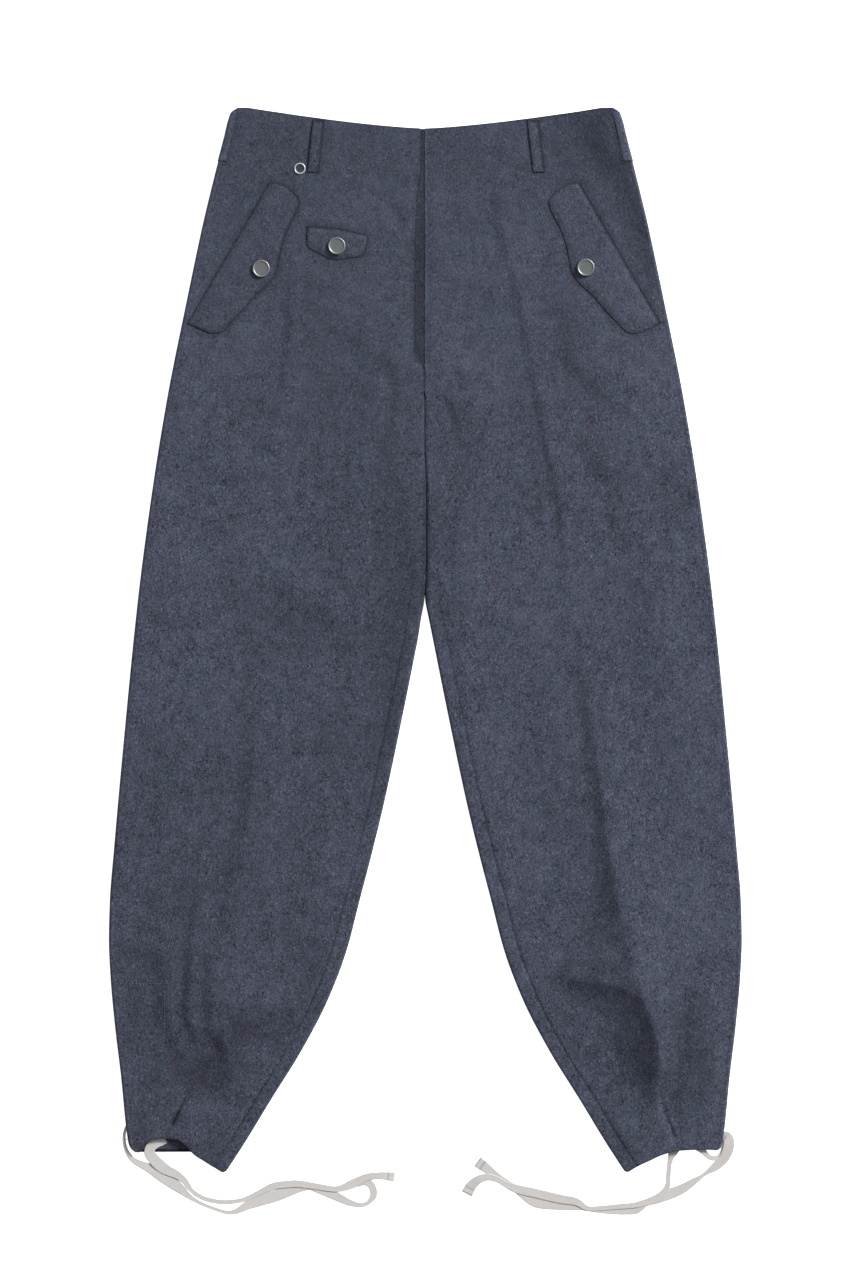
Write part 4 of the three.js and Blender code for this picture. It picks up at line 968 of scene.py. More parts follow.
NEAR_EDGE = np.array([0, 0.3, 0.7, 1.2, 1.9, 2.9, 4.3])   # distances of the points along an edge
UPPER_STEP = 3.15             # height between rows, above and below the knees
LOWER_STEP = 2.1
LOWER_FROM = -198.0
SETTLE_ROUNDS = 14            # passes that settle a column's ends on the waist's and the hem's curve
SETTLE_STEP = 0.7


def panel_levels():
    """Row heights from the waist to the hems: close at both edges and over the ankles."""
    near = NEAR_EDGE[-1]
    upper = np.arange(WAIST_Y - near - 3.1, LOWER_FROM + 2, -UPPER_STEP)
    lower = np.arange(LOWER_FROM, TIP_Y + near + 1.2, -LOWER_STEP)
    return np.concatenate([WAIST_Y - NEAR_EDGE, upper, lower, TIP_Y + NEAR_EDGE[::-1]])


def column_rows(levels, distance_at, hem):
    """Each column's own rows: level in the middle, drawn out to the waist's and the hem's curve,
    which are found where the column meets them. The second result is the distance to the nearer
    of the two edges."""
    waist = np.full(distance_at(np.array(WAIST_Y)).shape, WAIST_Y)
    foot = smooth_read(hem, distance_at(np.full_like(waist, TIP_Y)))
    for _ in range(SETTLE_ROUNDS):
        waist = waist_curve(distance_at(waist))
        foot = lerp(foot, smooth_read(hem, distance_at(foot)), SETTLE_STEP)
    level = levels[:, None]
    top = lerp(WAIST_ZONE, waist, (level - WAIST_ZONE) / (WAIST_Y - WAIST_ZONE))
    low = lerp(HEM_ZONE, foot, (level - HEM_ZONE) / (TIP_Y - HEM_ZONE))
    rows = np.where(level > WAIST_ZONE, top, np.where(level < HEM_ZONE, low, level))
    return rows, np.minimum(waist - rows, rows - foot)


def fly_setback(side, y):
    """The wearer's right front stands back along the fly and meets the other again at its foot."""
    return np.full(np.shape(y), FLY_MEETS) if side > 0 else smooth_read(FLY_SETBACK, y)


def fly_thinness(from_edge):
    """Share of the cloth's thickness near the fly, where its folded edges are pressed flat."""
    return lerp(FLY_THIN, 1, ease(from_edge / FLY_THIN_RUN))


def front_edges(side, y):
    """A front's inner edge, from the fly to the inseam, and its outer edge at the outseam."""
    seam = inner_edge(side, y) + inseam_wrap(y) + SEAM_CLOSE
    inner = lerp(fly_setback(side, y), seam, legness(y + FRONT_LATER))
    return inner, outer_edge(side, y) - OUTSEAM_WRAP - SEAM_CLOSE


def front_panel(name, side, hem, columns=88):
    """A front: columns share the width between its two edges evenly, and crowd within a few
    millimetres of them. Faces lie half the cloth above and below the layer's middle."""
    near = NEAR_EDGE[-1]
    offset = np.concatenate([NEAR_EDGE, np.full(columns, near), near + near - NEAR_EDGE[::-1]])
    share = np.concatenate([np.zeros(len(NEAR_EDGE)), np.arange(1, columns + 1) / (columns + 1),
                            np.ones(len(NEAR_EDGE))])

    def distance_at(y):
        inner, outer = front_edges(side, y)
        return inner + offset + share * (outer - inner - 2 * near)

    y, from_end = column_rows(panel_levels(), distance_at, hem)
    d = distance_at(y)
    inner, outer = front_edges(side, y)
    from_inner, from_outer = d - inner, outer - d
    in_leg = legness(y)
    mark = inseam_mark(side, y)
    middle = upper_middle(side, d, y) - OUTSEAM_MARK * seam_dip(from_outer)
    middle -= mark * in_leg * seam_dip(from_inner)
    by_fly = ease((y - FLY_CLOSE_Y) / FLY_FOOT_RUN)
    cut = np.minimum(from_end, lerp(FAR, from_inner, by_fly))
    half = CLOTH / 2 * cut_edge(cut) * lerp(1, fly_thinness(from_inner), by_fly)
    # Painted shade: the painted patches, and darkening at the waist's and the hems' cut edges
    edge = painted_light_and_shade_at(side * d, y) + END_PAINTED_SHADE * dark_near(from_end)
    # Painted shade in the inseam's groove
    edge += SEAM_PAINTED_SHADE * mark * in_leg * dark_near(from_inner)
    # Painted shade on the middle line below the fly
    edge += (1 - in_leg) * (1 - by_fly) * MIDDLE_PAINTED_SHADE * dark_near(from_inner)
    # Painted highlight on the overlapping front's ridge, painted shade on the other front beside the
    # fly
    if side > 0:
        edge -= by_fly * FLY_RIDGE_PAINTED_LIGHT * dark_near(from_inner - FLY_RIDGE_AT, FLY_RIDGE_REACH)
    else:
        edge += by_fly * FLY_PAINTED_SHADE * dark_near(from_inner, FLY_PAINTED_SHADE_REACH)
    return slab(name, side * d, y, middle + half, middle - half, side, edge + leg_shade(side, y))


def back_panel(name, side, hem, across=64, turn=11, strip=10):
    """A back: from its outseam on the front it turns down round the leg's outer fold, runs along
    the floor and comes up round the inner fold to the inseam. Above the crotch the inner part lies
    flat on the floor as far as the centre back seam."""
    floor = CLOTH / 2
    centre = floor + FOLD_HEIGHT
    wrap_strip = OUTSEAM_WRAP - FOLD_OUTER
    seam_side = np.array([0, 0.3, 0.7, 1.2, 1.8]) / 2.4 * wrap_strip
    outer_turn = np.radians(np.linspace(90, -90, turn))
    inner_turn = np.radians(np.linspace(-90, 90, turn))[1:]
    tail = 1 - (1 - np.linspace(0, 1, strip + 1)[1:]) ** 1.8
    kinds = np.concatenate([np.zeros(len(seam_side)), np.ones(turn), np.full(across - 1, 2),
                            np.full(1 + len(inner_turn), 3), np.full(strip, 4)])
    value = np.concatenate([seam_side, outer_turn, np.arange(1, across) / across,
                            [-math.pi / 2], inner_turn, tail])
    rolled = np.cumsum(kinds >= 3) - 1
    flat = FOLD_OUTER * (1 - np.clip(rolled, 0, None) / rolled.max()) + SEAM_CLOSE

    def places(y):
        outer = outer_edge(side, y)
        inner = inner_edge(side, y)
        wrap = inseam_wrap(y)
        leg = legness(y)
        on_strip = outer - OUTSEAM_WRAP + value
        on_outer = outer - FOLD_OUTER + FOLD_HEIGHT * np.cos(value)
        inside = lerp(FOLD_OUTER + SEAM_CLOSE, inner + FOLD_OUTER, leg)
        on_floor = lerp(outer - FOLD_OUTER, inside, value)
        closer = FOLD_CLOSER * leg * (1 - leg)
        on_inner = lerp(flat, inner + FOLD_OUTER - FOLD_HEIGHT * np.cos(value), leg) - closer
        on_tail = lerp(flat, inner + lerp(FOLD_OUTER, wrap, value), leg) - closer * (1 - value) ** 2
        return np.select([kinds == 0, kinds == 1, kinds == 2, kinds == 3],
                         [on_strip, on_outer, on_floor, on_inner], on_tail)

    y, from_end = column_rows(panel_levels(), places, hem)
    d = places(y)
    leg = legness(y)
    kind = np.broadcast_to(kinds, y.shape)
    seam_distance = np.where(kind == 0, value, np.where(
        kind == 4, (1 - value) * np.maximum(inseam_wrap(y) - FOLD_OUTER, 0.4), FAR))
    mark = np.where(kind == 0, OUTSEAM_MARK, inseam_mark(side, y))
    upper = upper_middle(side, d, y) - mark * seam_dip(seam_distance)
    lift = fold_sum(UNDER_FOLDS, side * d, y) + unevenness(side * d, y, *UNDER_WAVE) - UNDER_SUNK
    lift = np.clip(lift, 0, 1) * ease((outer_edge(side, y) - d - UNDER_OUTER_FLAT) / UNDER_RUN)
    lift = lift * ease((d - inner_edge(side, y) * leg - UNDER_INNER_FLAT) / UNDER_RUN)
    under = floor + lift * ease(from_end / UNDER_END_RUN)
    rolled_height = centre + FOLD_HEIGHT * np.sin(value)
    z = np.select([kind == 0, kind == 1, kind == 2, kind == 3],
                  [upper, rolled_height, under, lerp(floor, rolled_height, leg)],
                  lerp(floor, upper, leg))
    down = -math.pi / 2
    angle = np.select([kind == 0, kind == 1, kind == 2, kind == 3],
                      [math.pi / 2, value, down, lerp(down, value, leg)],
                      lerp(down, math.pi / 2, leg))
    out = np.where(kind >= 3, -np.cos(angle), np.cos(angle))
    half = CLOTH / 2 * cut_edge(from_end)
    from_middle = np.abs(d - inner_edge(side, y) - 0.3)
    between = smooth_read(MIDDLE_MARK, y) * ease((y - 20) / 28) * (kind >= 3) * (z > floor)
    on_top = ((kind == 0) | (kind == 4)) * (z > CLOTH)
    # Painted shade: the painted patches where the back lies on top, and darkening at its cut ends
    edge = on_top * painted_light_and_shade_at(side * d, y) + END_PAINTED_SHADE * dark_near(from_end) + leg_shade(side, y)
    # Painted shade in the inseam's groove
    edge += SEAM_PAINTED_SHADE * mark * (kind == 4) * dark_near(seam_distance)
    # Painted shade on the backs' rolls along the middle line between the thighs
    low = ease((MIDDLE_REACH_FROM - y) / MIDDLE_REACH_RUN)
    edge += between * dark_near(from_middle, lerp(MIDDLE_REACH_ABOVE, MIDDLE_REACH[side], low))
    face = np.stack([side * (d + out * half), y, np.maximum(z + np.sin(angle) * half, 0)], axis=-1)
    lining = np.stack([side * (d - out * half), y, z - np.sin(angle) * half], axis=-1)
    # The lining carries painted shade, deep just inside its ends and faint elsewhere
    return shell(name, face, lining, [wool("left" if side > 0 else "right")], edge,
                 np.where(from_end < INSIDE_DEPTH, INSIDE_PAINTED_SHADE, INSIDE_FAINT_PAINTED_SHADE))


def fly_underlap():
    """The strip under the fly: level rows between its two long edges, hung just below the fronts."""
    share = np.concatenate([[0, 0.012, 0.03], np.linspace(0.06, 0.94, 22), [0.97, 0.988, 1]])
    x = lerp(UNDERLAP_FROM, UNDERLAP_TO, share)[None, :]
    down = np.concatenate([[0, 0.0012, 0.003, 0.006], np.linspace(0.012, 1, 70)])[:, None]
    top = waist_curve(x) - UNDERLAP_DROP
    y = lerp(top, UNDERLAP_BOTTOM, down)
    side = np.where(x > 0, 1, -1)
    left = upper_middle(1, np.abs(x), y, fly=False)
    right = upper_middle(-1, np.abs(x), y, fly=False)
    over = np.where(side > 0, left, right)
    thick = UNDERLAP_THICK / 2
    from_fly = np.where(side > 0, x, -x - fly_setback(-1, y))
    middle = over - CLOTH / 2 * fly_thinness(from_fly) - SEAM_CLOSE - thick
    edge = np.minimum(np.minimum(x - UNDERLAP_FROM, UNDERLAP_TO - x), top - y)
    half = thick * cut_edge(edge)
    x = np.broadcast_to(x, y.shape)
    face = np.stack([x, y, middle + half], axis=-1)
    lining = np.stack([x, y, middle - half], axis=-1)
    # Painted shadow on the strip, darker towards the overlapping front's edge
    return shell("fly_underlap_strip", face, lining, [wool("underlap")], 0.15 * ease((x + 5) / 4))


def painted_rim_shade(x, y, edge, reach):
    """Painted shade along an edge, deeper where the edge faces the light and nothing shades it. The
    way in from the edge is the slope of the distance, found from the grid's own steps."""
    (xr, xc), (yr, yc), (er, ec) = np.gradient(x), np.gradient(y), np.gradient(edge)
    area = xr * yc - xc * yr
    area = np.where(np.abs(area) < 1e-6, 1e-6, area)
    into = np.stack([(er * yc - ec * yr) / area, (ec * xr - er * xc) / area])
    into = into / np.maximum(np.linalg.norm(into, axis=0), 1e-6)
    facing = -(into[0] * math.cos(LIGHT_FROM) + into[1] * math.sin(LIGHT_FROM))
    return (RIM_SHADE_MEAN + RIM_SHADE_BY_LIGHT * facing) * dark_near(edge, reach)


def flap(name, side, sewn, free, along, across):
    """A flap ruled from its sewn edge to its free edge. It lies close on the front, swells in its
    middle, and its edges are thinner and rounded."""
    crowd = np.array([0, 0.002, 0.006])
    r_share = np.concatenate([crowd, np.linspace(0.012, 0.988, along), 1 - crowd[::-1]])
    c_share = np.concatenate([[0, 0.008, 0.02], np.linspace(0.04, 0.96, across), [0.98, 0.992, 1]])
    fine = np.linspace(0, 1, 800)
    start, end = (np.column_stack([np.interp(r_share, fine, line[:, k]) for k in range(2)])
                  for line in (through(sewn, 800), through(free, 800)))
    point = lerp(start[:, None, :], end[:, None, :], c_share[None, :, None])
    d, y = point[..., 0], point[..., 1]
    x = side * d
    width = np.linalg.norm(end - start, axis=1)[:, None]
    length = np.linalg.norm(np.diff(end, axis=0), axis=1).sum()
    edge = np.minimum(width * np.minimum(c_share, 1 - c_share),
                      (length * np.minimum(r_share, 1 - r_share))[:, None])
    thick = FLAP_THICK / 2 * lerp(0.5, 1, ease(edge / FLAP_THIN_RUN))
    half = thick * cut_edge(edge)
    bulge = FLAP_BULGE * ease(edge / FLAP_BULGE_RUN)
    middle = top_face(x, y) + LAID_CLOSE + thick
    # Painted shade along the flap's rim
    mark = painted_rim_shade(x, y, edge, FLAP_MARK_REACH)
    return slab(name, x, y, middle + half + bulge, middle - half, side, mark)


def front_loop(name, top_x, foot_x):
    """A belt loop on a front: straight, sewn down at both ends and arched a little between."""
    t = np.concatenate([[0, 0.006, 0.016], np.linspace(0.03, 0.97, 34), [0.984, 0.994, 1]])[:, None]
    s = np.array([-1, -0.96, -0.88, -0.7, -0.45, -0.2, 0, 0.2, 0.45, 0.7, 0.88, 0.96, 1])[None, :]
    x = lerp(top_x, foot_x, t) + s * LOOP_WIDTH / 2
    y = np.broadcast_to(lerp(LOOP_TOP, LOOP_FOOT, t), x.shape)
    edge = np.minimum((1 - np.abs(s)) * LOOP_WIDTH / 2,
                      np.minimum(t, 1 - t) * (LOOP_TOP - LOOP_FOOT))
    half = LOOP_THICK / 2 * cut_edge(edge)
    tack = LOOP_TACK * (dark_near(t - 0.06, 0.03) + dark_near(t - 0.94, 0.03))
    middle = top_face(x, y) + LAID_CLOSE + LOOP_THICK / 2 + LOOP_ARCH * np.sin(math.pi * t) ** 0.7
    # Painted shade along the loop's rim
    mark = painted_rim_shade(x, y, edge, LOOP_MARK_REACH)
    return slab(name, x, y, middle + half - tack, middle - half, top_x, mark)


def side_loop(name, side):
    """A belt loop at the side seam: it lies on the front, turns down round the folded edge and
    thins towards the waist, where it is caught in the seam."""
    near = np.array([0, 0.3, 0.8])
    level = np.concatenate([SIDE_LOOP_TOP - near, np.linspace(525.4, 479.1, 28),
                            SIDE_LOOP_FOOT + near[::-1]])
    inner = smooth_read(SIDE_LOOP, level)[:, None] + (OUTER_MORE / 2 if side > 0 else 0)
    y = level[:, None]
    axis = outer_edge(side, y) - FOLD_OUTER
    flat = np.array([0, 0.04, 0.12, 0.3, 0.6])[None, :]
    around = np.linspace(0, 1, 12)[None, :]
    angle = np.radians(90 - SIDE_LOOP_TURN * around)
    centre = CLOTH / 2 + FOLD_HEIGHT
    on_flat = lerp(np.minimum(inner, axis - 1), axis, flat)
    from_inner = on_flat - on_flat[:, :1]
    from_outer = math.radians(SIDE_LOOP_TURN) * (FOLD_OUTER + 0.8) * (1 - around) + 0 * y
    edge = np.minimum(np.minimum(SIDE_LOOP_TOP - y, y - SIDE_LOOP_FOOT),
                      np.hstack([from_inner, from_outer]))
    thick = SIDE_LOOP_THICK * lerp(0.35, 1, ease((SIDE_LOOP_TOP - y) / 16))

    def layer(direction):
        radius = FOLD_OUTER + LAID_CLOSE + thick / 2 + direction * thick / 2 * cut_edge(edge)
        bent = radius[:, flat.size:]
        d = np.hstack([on_flat, axis + bent * np.cos(angle)])
        z = centre + np.hstack([radius[:, :flat.size], bent * np.sin(angle)])
        return np.stack([side * d, np.broadcast_to(y, d.shape), z], axis=-1)

    from_side = np.hstack([from_inner, np.full(from_outer.shape, FAR)])
    from_rim = np.minimum(from_side, y - SIDE_LOOP_FOOT)
    # Painted shade along the side loop's inner edge and foot
    mark = SIDE_LOOP_PAINTED_SHADE * dark_near(from_rim, SIDE_LOOP_PAINTED_SHADE_REACH)
    return shell(name, layer(1), layer(-1), [wool("left" if side > 0 else "right")],
                 mark - SIDE_LOOP_LIGHT)


# ---------------------------------------------------------------- metal

def turned(name, profile, place, base, materials, bands, around=56):
    """A profile of radius and height carried round an upright axis. Radii of nothing close into
    a pole; a profile that ends where it starts closes into a ring."""
    profile = np.asarray(profile, float)
    ring = np.allclose(profile[0], profile[-1])
    if ring:
        profile = profile[:-1]
    angle = np.linspace(0, 2 * math.pi, around, endpoint=False)
    middle = profile if ring else profile[1:-1]
    x = place[0] + middle[:, :1] * np.cos(angle)
    y = place[1] + middle[:, :1] * np.sin(angle)
    z = base + np.broadcast_to(middle[:, 1:], x.shape)
    points = np.stack([x, y, z], axis=-1).reshape(-1, 3)
    rows = len(middle)
    if ring:
        quads = grid_faces(rows + 1, around, wrap=True) % (rows * around)
        return new_piece(name, points, quads, materials=materials)
    quads = grid_faces(rows, around, wrap=True)
    poles = [(place[0], place[1], base + profile[0, 1]), (place[0], place[1], base + profile[-1, 1])]
    triangles = pole_caps(rows, around, len(points))
    points = np.vstack([points, poles])
    radius = np.repeat((middle[:-1, 0] + middle[1:, 0]) / 2, around)
    height = np.repeat((middle[:-1, 1] + middle[1:, 1]) / 2, around)
    face_material = np.concatenate([bands(radius, height), np.zeros(2 * around)])
    return new_piece(name, points, quads, triangles, materials, face_material)


def button_profile():
    """Flat back, rounded rim with a bead, shallow flat dish."""
    rim = BUTTON_RADIUS
    top = BUTTON_HEIGHT
    bead = [(rim - BEAD + BEAD * math.cos(a), top - BEAD + BEAD * math.sin(a))
            for a in np.linspace(0, math.pi * 0.86, 9)]
    return [(0, 0), (rim * 0.4, 0), (rim * 0.86, 0.02), (rim * 0.96, 0.5), (rim, 1.1), *bead,
            (rim - 1.62, top - 0.62), (rim - 1.9, top - 0.74), (rim - 2.6, top - 0.8),
            (rim * 0.4, top - 0.86), (0, top - 0.88)]


def eyelet_profile():
    """Half-round ring with a straight bore."""
    mean = (EYELET_OUTER + EYELET_INNER) / 2
    half = (EYELET_OUTER - EYELET_INNER) / 2
    round_height = EYELET_THICK - EYELET_SHOULDER
    arc = [(mean + half * math.cos(a), EYELET_SHOULDER + round_height * math.sin(a))
           for a in np.linspace(0, math.pi, 11)]
    return [(EYELET_INNER, 0), (EYELET_OUTER, 0), *arc, (EYELET_INNER, 0)]


# ---------------------------------------------------------------- thread

def stitch_piece(name, rows, height_at):
    """Short spindles of thread along each row: a six-sided body of three rings between two points,
    copied to evenly spaced places, turned along the row and laid on the surface."""
    ring = np.radians(np.arange(6) * 60)
    body = []
    for along, size in ((-0.42, 0.6), (0.0, 1.0), (0.42, 0.6)):
        thick = STITCH_THICK * size
        body += [(along * STITCH_LENGTH, thick * math.cos(a), 0.7 * thick * math.sin(a))
                 for a in ring]
    body += [(-0.5 * STITCH_LENGTH, 0, -0.1), (0.5 * STITCH_LENGTH, 0, -0.1)]
    body = np.array(body)
    quads = np.vstack([[(r * 6 + k, r * 6 + (k + 1) % 6, r * 6 + 6 + (k + 1) % 6, r * 6 + 6 + k)
                        for k in range(6)] for r in range(2)])
    caps = np.array([(18, (k + 1) % 6, k) for k in range(6)]
                    + [(19, 12 + k, 12 + (k + 1) % 6) for k in range(6)])
    centres, ways = [], []
    for row in rows:
        run = np.linalg.norm(np.diff(np.asarray(row, float)[:, :2], axis=0), axis=1).sum()
        line = through(row, max(int(run / STITCH_PITCH), 2) * 2 + 1)
        centres.append(line[1::2])
        ways.append(line[2::2] - line[:-1:2])
    centre = np.vstack(centres)
    way = np.vstack(ways)
    way = way / np.linalg.norm(way, axis=1, keepdims=True)
    z = height_at(centre[:, 0], centre[:, 1])
    x = centre[:, :1] + body[:, 0] * way[:, :1] - body[:, 1] * way[:, 1:2]
    y = centre[:, 1:2] + body[:, 0] * way[:, 1:2] + body[:, 1] * way[:, :1]
    points = np.stack([x, y, z[:, None] + body[:, 2]], axis=-1).reshape(-1, 3)
    shift = (np.arange(len(centre)) * len(body))[:, None, None]
    return new_piece(name, points, (quads + shift).reshape(-1, 4), (caps + shift).reshape(-1, 3),
                     [shared("sewing_thread", thread_material)])


# ---------------------------------------------------------------- tapes

def tape_piece(name, route, steps=170):
    """A flat cotton tape along its route. Where less of its width shows, it is folded together along
    its length, and so thicker: up to 1.7 times. Its map runs across the tape and along it, in
    metres."""
    settings = bpy.context.scene.trousers_tape
    wide, thin = settings.tape_width / MM / 2, settings.tape_thickness / MM / 2
    line = through(np.array(route, float), steps)
    share = line[:, 3:]
    thick = thin * lerp(1, 1.7, ease((0.95 - share) / 0.4))
    centre = line[:, :3] / MM + [0, 0, 1] * (thick - thin)
    way = np.gradient(centre[:, :2], axis=0)
    way = way / np.linalg.norm(way, axis=1, keepdims=True)
    turned_back = np.sign((way[1:] * way[:-1]).sum(axis=1))
    way = way * np.concatenate([[1], np.cumprod(turned_back)])[:, None]
    flat = np.array([0.98, 0.93, 0.8, 0.6, 0.35, 0.1, -0.1, -0.35, -0.6, -0.8, -0.93, -0.98])
    rise = np.array([0.45, 0.85, 1, 0.94, 0.9, 0.88, 0.88, 0.9, 0.94, 1, 0.85, 0.45])
    across = np.concatenate([flat, [-1], flat[::-1], [1]])
    side = across * wide * share
    high = np.concatenate([rise, [0], -rise[::-1], [0]]) * thick
    x = centre[:, :1] + side * way[:, 1:2]
    y = centre[:, 1:2] - side * way[:, :1]
    z = np.maximum(centre[:, 2:3] + high, 0.02)
    points = np.stack([x, y, z], axis=-1).reshape(-1, 3)
    count = len(across)
    triangles = pole_caps(steps, count, len(points))
    points = np.vstack([points, centre[0], centre[-1]])
    step = np.linalg.norm(np.diff(centre, axis=0), axis=1)
    run = np.concatenate([[0], np.cumsum(step)]) * MM
    uv = np.stack(np.broadcast_arrays(across[None, :] * wide * MM, run[:, None]), axis=-1)
    uv = np.vstack([uv.reshape(-1, 2), [0, 0], [0, run[-1]]])
    hem = np.broadcast_to(dark_near((run[-1] - run)[:, None] / MM - TAPE_HEM, 0.7), x.shape)
    piece = new_piece(name, points, grid_faces(steps, count, wrap=True), triangles,
                      [shared("tape_cotton", tape_material)], uv=uv,
                      edge=np.concatenate([hem.ravel(), [0, 0]]))
    return piece, centre * MM, run[-1]


# ---------------------------------------------------------------- settings

class ClothSettings(bpy.types.PropertyGroup):
    """The trousers' cloth."""

    wool_colour: FloatVectorProperty(
        name="Wool colour", description="Mean colour of the melton", subtype="COLOR", size=3,
        min=0, max=1, default=(0.0545, 0.0610, 0.0900))
    thread_colour: FloatVectorProperty(
        name="Thread colour", description="Colour of the stitching", subtype="COLOR", size=3,
        min=0, max=1, default=(0.079, 0.085, 0.108))
    fold_strength: FloatProperty(
        name="Fold strength", description="How strongly the fronts are creased", subtype="FACTOR",
        min=0, max=2.0, default=1.0)


class TapeSettings(bpy.types.PropertyGroup):
    """The tapes that tie the ankles."""

    tape_width: FloatProperty(
        name="Tape width", description="Width of an ankle tape", unit="LENGTH",
        min=0.008, max=0.016, default=0.012)
    tape_thickness: FloatProperty(
        name="Tape thickness", description="Thickness of an ankle tape", unit="LENGTH",
        min=0.0004, max=0.0016, default=0.0005)
    tape_colour: FloatVectorProperty(
        name="Tape colour", description="Colour of the cotton", subtype="COLOR", size=3,
        min=0, max=1, default=(0.55, 0.528, 0.513))


class StudioSettings(bpy.types.PropertyGroup):
    """Floor, lights and camera."""

    floor_colour: FloatVectorProperty(
        name="Floor colour", description="Colour of the floor", subtype="COLOR", size=3,
        min=0, max=1, default=(0.93, 0.93, 0.93))
    sky_strength: FloatProperty(
        name="Sky strength", description="Light from all round", min=0, max=4, default=0.38)
    key_strength: FloatProperty(
        name="Key strength", description="Light from the upper right", min=0, max=10, default=5.2)
    camera_height: FloatProperty(
        name="Camera height", description="Height of the camera above the floor", unit="LENGTH",
        min=1, max=20, default=5.0)


# ---------------------------------------------------------------- operators

class TROUSERS_OT_stage(bpy.types.Operator):
    """Makes the floor, the lights and the camera"""

    bl_idname = "trousers.stage"
    bl_label = "Stage"

    def execute(self, context):
        scene = context.scene
        studio = scene.trousers_studio
        corners = [(x * FLOOR_HALF, y * FLOOR_HALF, -FLOOR_DROP)
                   for x, y in ((-1, -1), (1, -1), (1, 1), (-1, 1))]
        mesh = bpy.data.meshes.new("floor")
        mesh.from_pydata((np.array(corners) * MM).tolist(), [], [(0, 1, 2, 3)])
        mesh.materials.append(floor_material())
        floor = bpy.data.objects.new("floor", mesh)
        scene.collection.objects.link(floor)

        world = bpy.data.worlds.new("studio_sky")
        world.use_nodes = True
        sky = world.node_tree.nodes["Background"].inputs
        sky["Color"].default_value = (1, 1, 1, 1)
        sky["Strength"].default_value = studio.sky_strength
        scene.world = world

        key = bpy.data.lights.new("key_light", "SUN")
        key.energy = studio.key_strength
        key.angle = SUN_WIDTH
        holder = bpy.data.objects.new("key_light", key)
        holder.rotation_euler = (math.pi / 2 - SUN_HEIGHT, 0, LIGHT_FROM + math.pi / 2)
        scene.collection.objects.link(holder)

        camera = bpy.data.cameras.new("camera")
        camera.sensor_width = FILM
        camera.lens = FILM * studio.camera_height / PICTURE_HEIGHT
        camera.clip_end = 50
        view = bpy.data.objects.new("camera", camera)
        view.location = (CAMERA_SHIFT, -CAMERA_SHIFT, studio.camera_height)
        scene.collection.objects.link(view)
        scene.camera = view
        scene.view_settings.view_transform = "Standard"
        return {"FINISHED"}


class TROUSERS_OT_tapes(bpy.types.Operator):
    """Makes the four tapes that tie the ankles"""

    bl_idname = "trousers.tapes"
    bl_label = "Ankle tapes"

    def execute(self, context):
        for node, route in TAPE_ROUTES.items():
            piece, line, length = tape_piece(node + "_cotton", route)
            finish_piece(piece, "tape", node)
        return {"FINISHED"}


class TROUSERS_OT_fronts(bpy.types.Operator):
    """Makes the two fronts"""

    bl_idname = "trousers.fronts"
    bl_label = "Fronts"

    def execute(self, context):
        for name, side, hem, node in (("front_left_panel", 1, HEM_LEFT, "front_left"),
                                      ("front_right_panel", -1, HEM_FRONT_RIGHT, "front_right")):
            piece = finish_piece(front_panel(name, side, hem), "wool", node)
        return {"FINISHED"}


class TROUSERS_OT_backs(bpy.types.Operator):
    """Makes the two backs"""

    bl_idname = "trousers.backs"
    bl_label = "Backs"

    def execute(self, context):
        for name, side, hem, node in (("back_left_panel", 1, HEM_LEFT, "back_left"),
                                      ("back_right_panel", -1, HEM_BACK_RIGHT, "back_right")):
            piece = finish_piece(back_panel(name, side, hem), "wool", node)
        return {"FINISHED"}


class TROUSERS_OT_fly(bpy.types.Operator):
    """Makes the strip under the fly"""

    bl_idname = "trousers.fly"
    bl_label = "Fly underlap"

    def execute(self, context):
        piece = finish_piece(fly_underlap(), "wool", "fly_underlap")
        return {"FINISHED"}


class TROUSERS_OT_flaps(bpy.types.Operator):
    """Makes the pocket flaps"""

    bl_idname = "trousers.flaps"
    bl_label = "Pocket flaps"

    def execute(self, context):
        for name, side, node, front in (("hip_flap_left", 1, "pocket_flap_left", "front_left"),
                                        ("hip_flap_right", -1, "pocket_flap_right", "front_right")):
            piece = finish_piece(flap(name, side, FLAP_SEWN_EDGE, FLAP_FREE_EDGE, 96, 26),
                                 "wool", node)
        piece = finish_piece(flap("watch_flap", -1, WATCH_SEWN_EDGE, WATCH_FREE_EDGE, 72, 18),
                             "wool", "watch_pocket_flap")
        return {"FINISHED"}


class TROUSERS_OT_loops(bpy.types.Operator):
    """Makes the belt loops"""

    bl_idname = "trousers.loops"
    bl_label = "Belt loops"

    def execute(self, context):
        for node, (top_x, foot_x) in FRONT_LOOPS.items():
            piece = finish_piece(front_loop(node + "_strip", top_x, foot_x), "wool", node)
        for node, side in (("loop_side_left", 1), ("loop_side_right", -1)):
            piece = finish_piece(side_loop(node + "_strip", side), "wool", node)
        return {"FINISHED"}


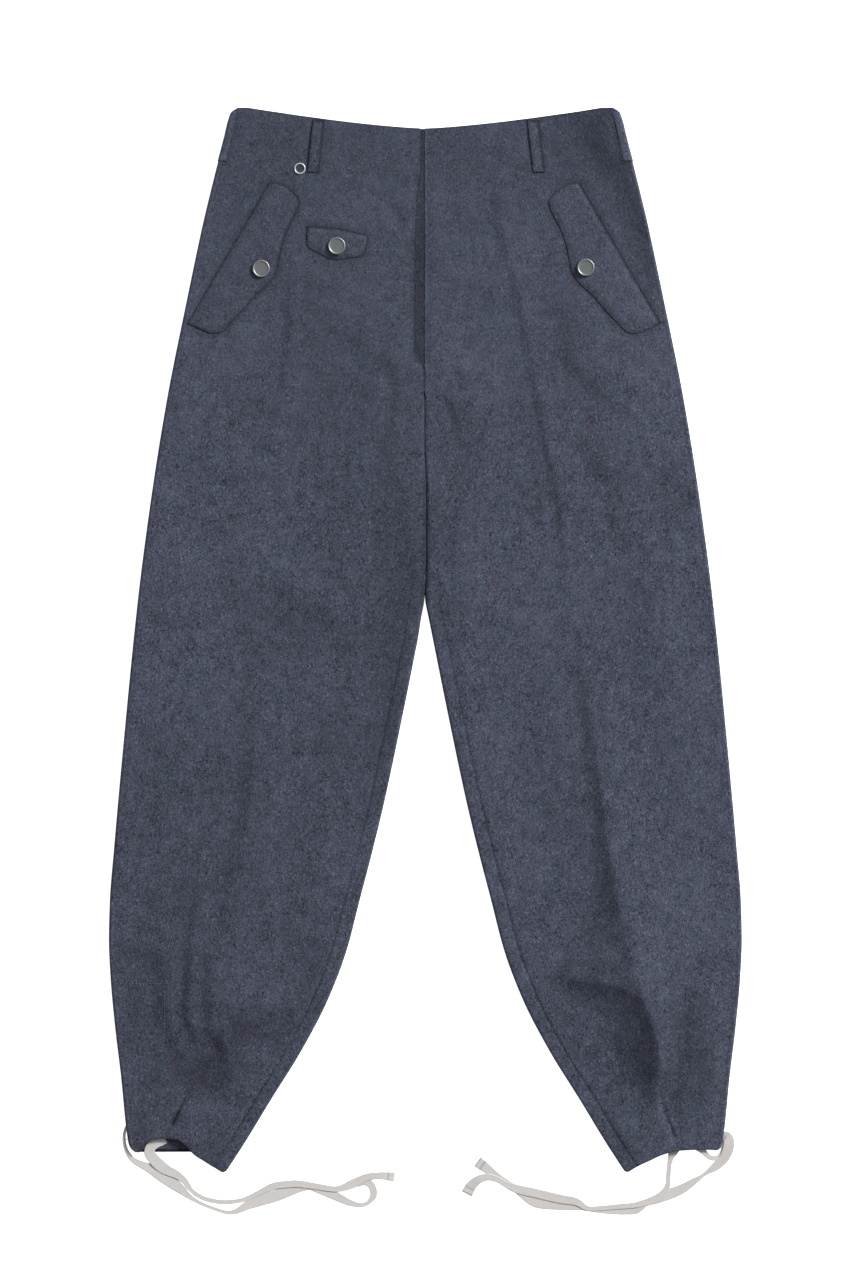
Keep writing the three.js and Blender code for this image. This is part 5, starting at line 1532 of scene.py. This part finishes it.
class TROUSERS_OT_metal(bpy.types.Operator):
    """Makes the buttons and the eyelet"""

    bl_idname = "trousers.metal"
    bl_label = "Buttons and eyelet"

    def execute(self, context):
        face, rim, ring = (shared(name, lambda: metal_material(name, *look))
                           for name, look in METALS.items())
        def on_rim(radius, height):
            return (radius > BUTTON_RADIUS - RIM_WIDTH) & (height > RIM_FROM)

        for node, (x, y) in BUTTONS.items():
            around = np.linspace(0, 2 * math.pi, 24, endpoint=False)
            under = top_face(x + BUTTON_RADIUS * np.cos(around), y + BUTTON_RADIUS * np.sin(around))
            base = under.max() + FLAP_THICK + 2 * LAID_CLOSE + BUTTON_CLEAR
            piece = turned(node + "_disc", button_profile(), (x, y), base, [face, rim], on_rim)
            finish_piece(piece, "button_metal", node)
        base = float(top_face(*(np.array([place]) for place in EYELET_PLACE))[0]) + EYELET_CLEAR
        piece = turned("eyelet_ring", eyelet_profile(), EYELET_PLACE, base, [ring], None)
        finish_piece(piece, "eyelet_metal", "eyelet")
        return {"FINISHED"}


class TROUSERS_OT_stitching(bpy.types.Operator):
    """Makes the rows of stitching"""

    bl_idname = "trousers.stitching"
    bl_label = "Stitching"

    def execute(self, context):
        rows = [np.array(row, float) for row in STITCH_ROWS]
        for low, high in WAIST_STITCH_RUNS:
            x = np.linspace(low, high, 12)
            rows.append(np.column_stack([x, waist_curve(x) - WAIST_STITCH_DROP]))
        piece = stitch_piece("stitching", rows, lambda x, y: top_face(x, y) + 0.05)
        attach(piece, "root")
        return {"FINISHED"}


class TROUSERS_PT_panel(bpy.types.Panel):
    """Lists the makers and their settings"""

    bl_idname = "TROUSERS_PT_panel"
    bl_label = "Trousers"
    bl_space_type = "VIEW_3D"
    bl_region_type = "UI"
    bl_category = "Trousers"

    def draw(self, context):
        scene = context.scene
        for operator in OPERATORS:
            self.layout.operator(operator.bl_idname)
        for settings in (scene.trousers_cloth, scene.trousers_tape, scene.trousers_studio):
            box = self.layout.box()
            for name in settings.__annotations__:
                box.prop(settings, name)


SETTINGS = {
    "trousers_cloth": ClothSettings,
    "trousers_tape": TapeSettings,
    "trousers_studio": StudioSettings,
}
OPERATORS = (
    TROUSERS_OT_stage, TROUSERS_OT_tapes, TROUSERS_OT_fronts, TROUSERS_OT_backs, TROUSERS_OT_fly,
    TROUSERS_OT_flaps, TROUSERS_OT_loops, TROUSERS_OT_metal, TROUSERS_OT_stitching,
)


def register():
    for kind in (*SETTINGS.values(), *OPERATORS, TROUSERS_PT_panel):
        bpy.utils.register_class(kind)
    for name, kind in SETTINGS.items():
        setattr(bpy.types.Scene, name, PointerProperty(type=kind))


def unregister():
    for name in SETTINGS:
        delattr(bpy.types.Scene, name)
    for kind in reversed((*SETTINGS.values(), *OPERATORS, TROUSERS_PT_panel)):
        bpy.utils.unregister_class(kind)


def main():
    register()
    for operator in OPERATORS:
        group, name = operator.bl_idname.split(".")
        getattr(getattr(bpy.ops, group), name)()


if __name__ == "__main__":
    main()
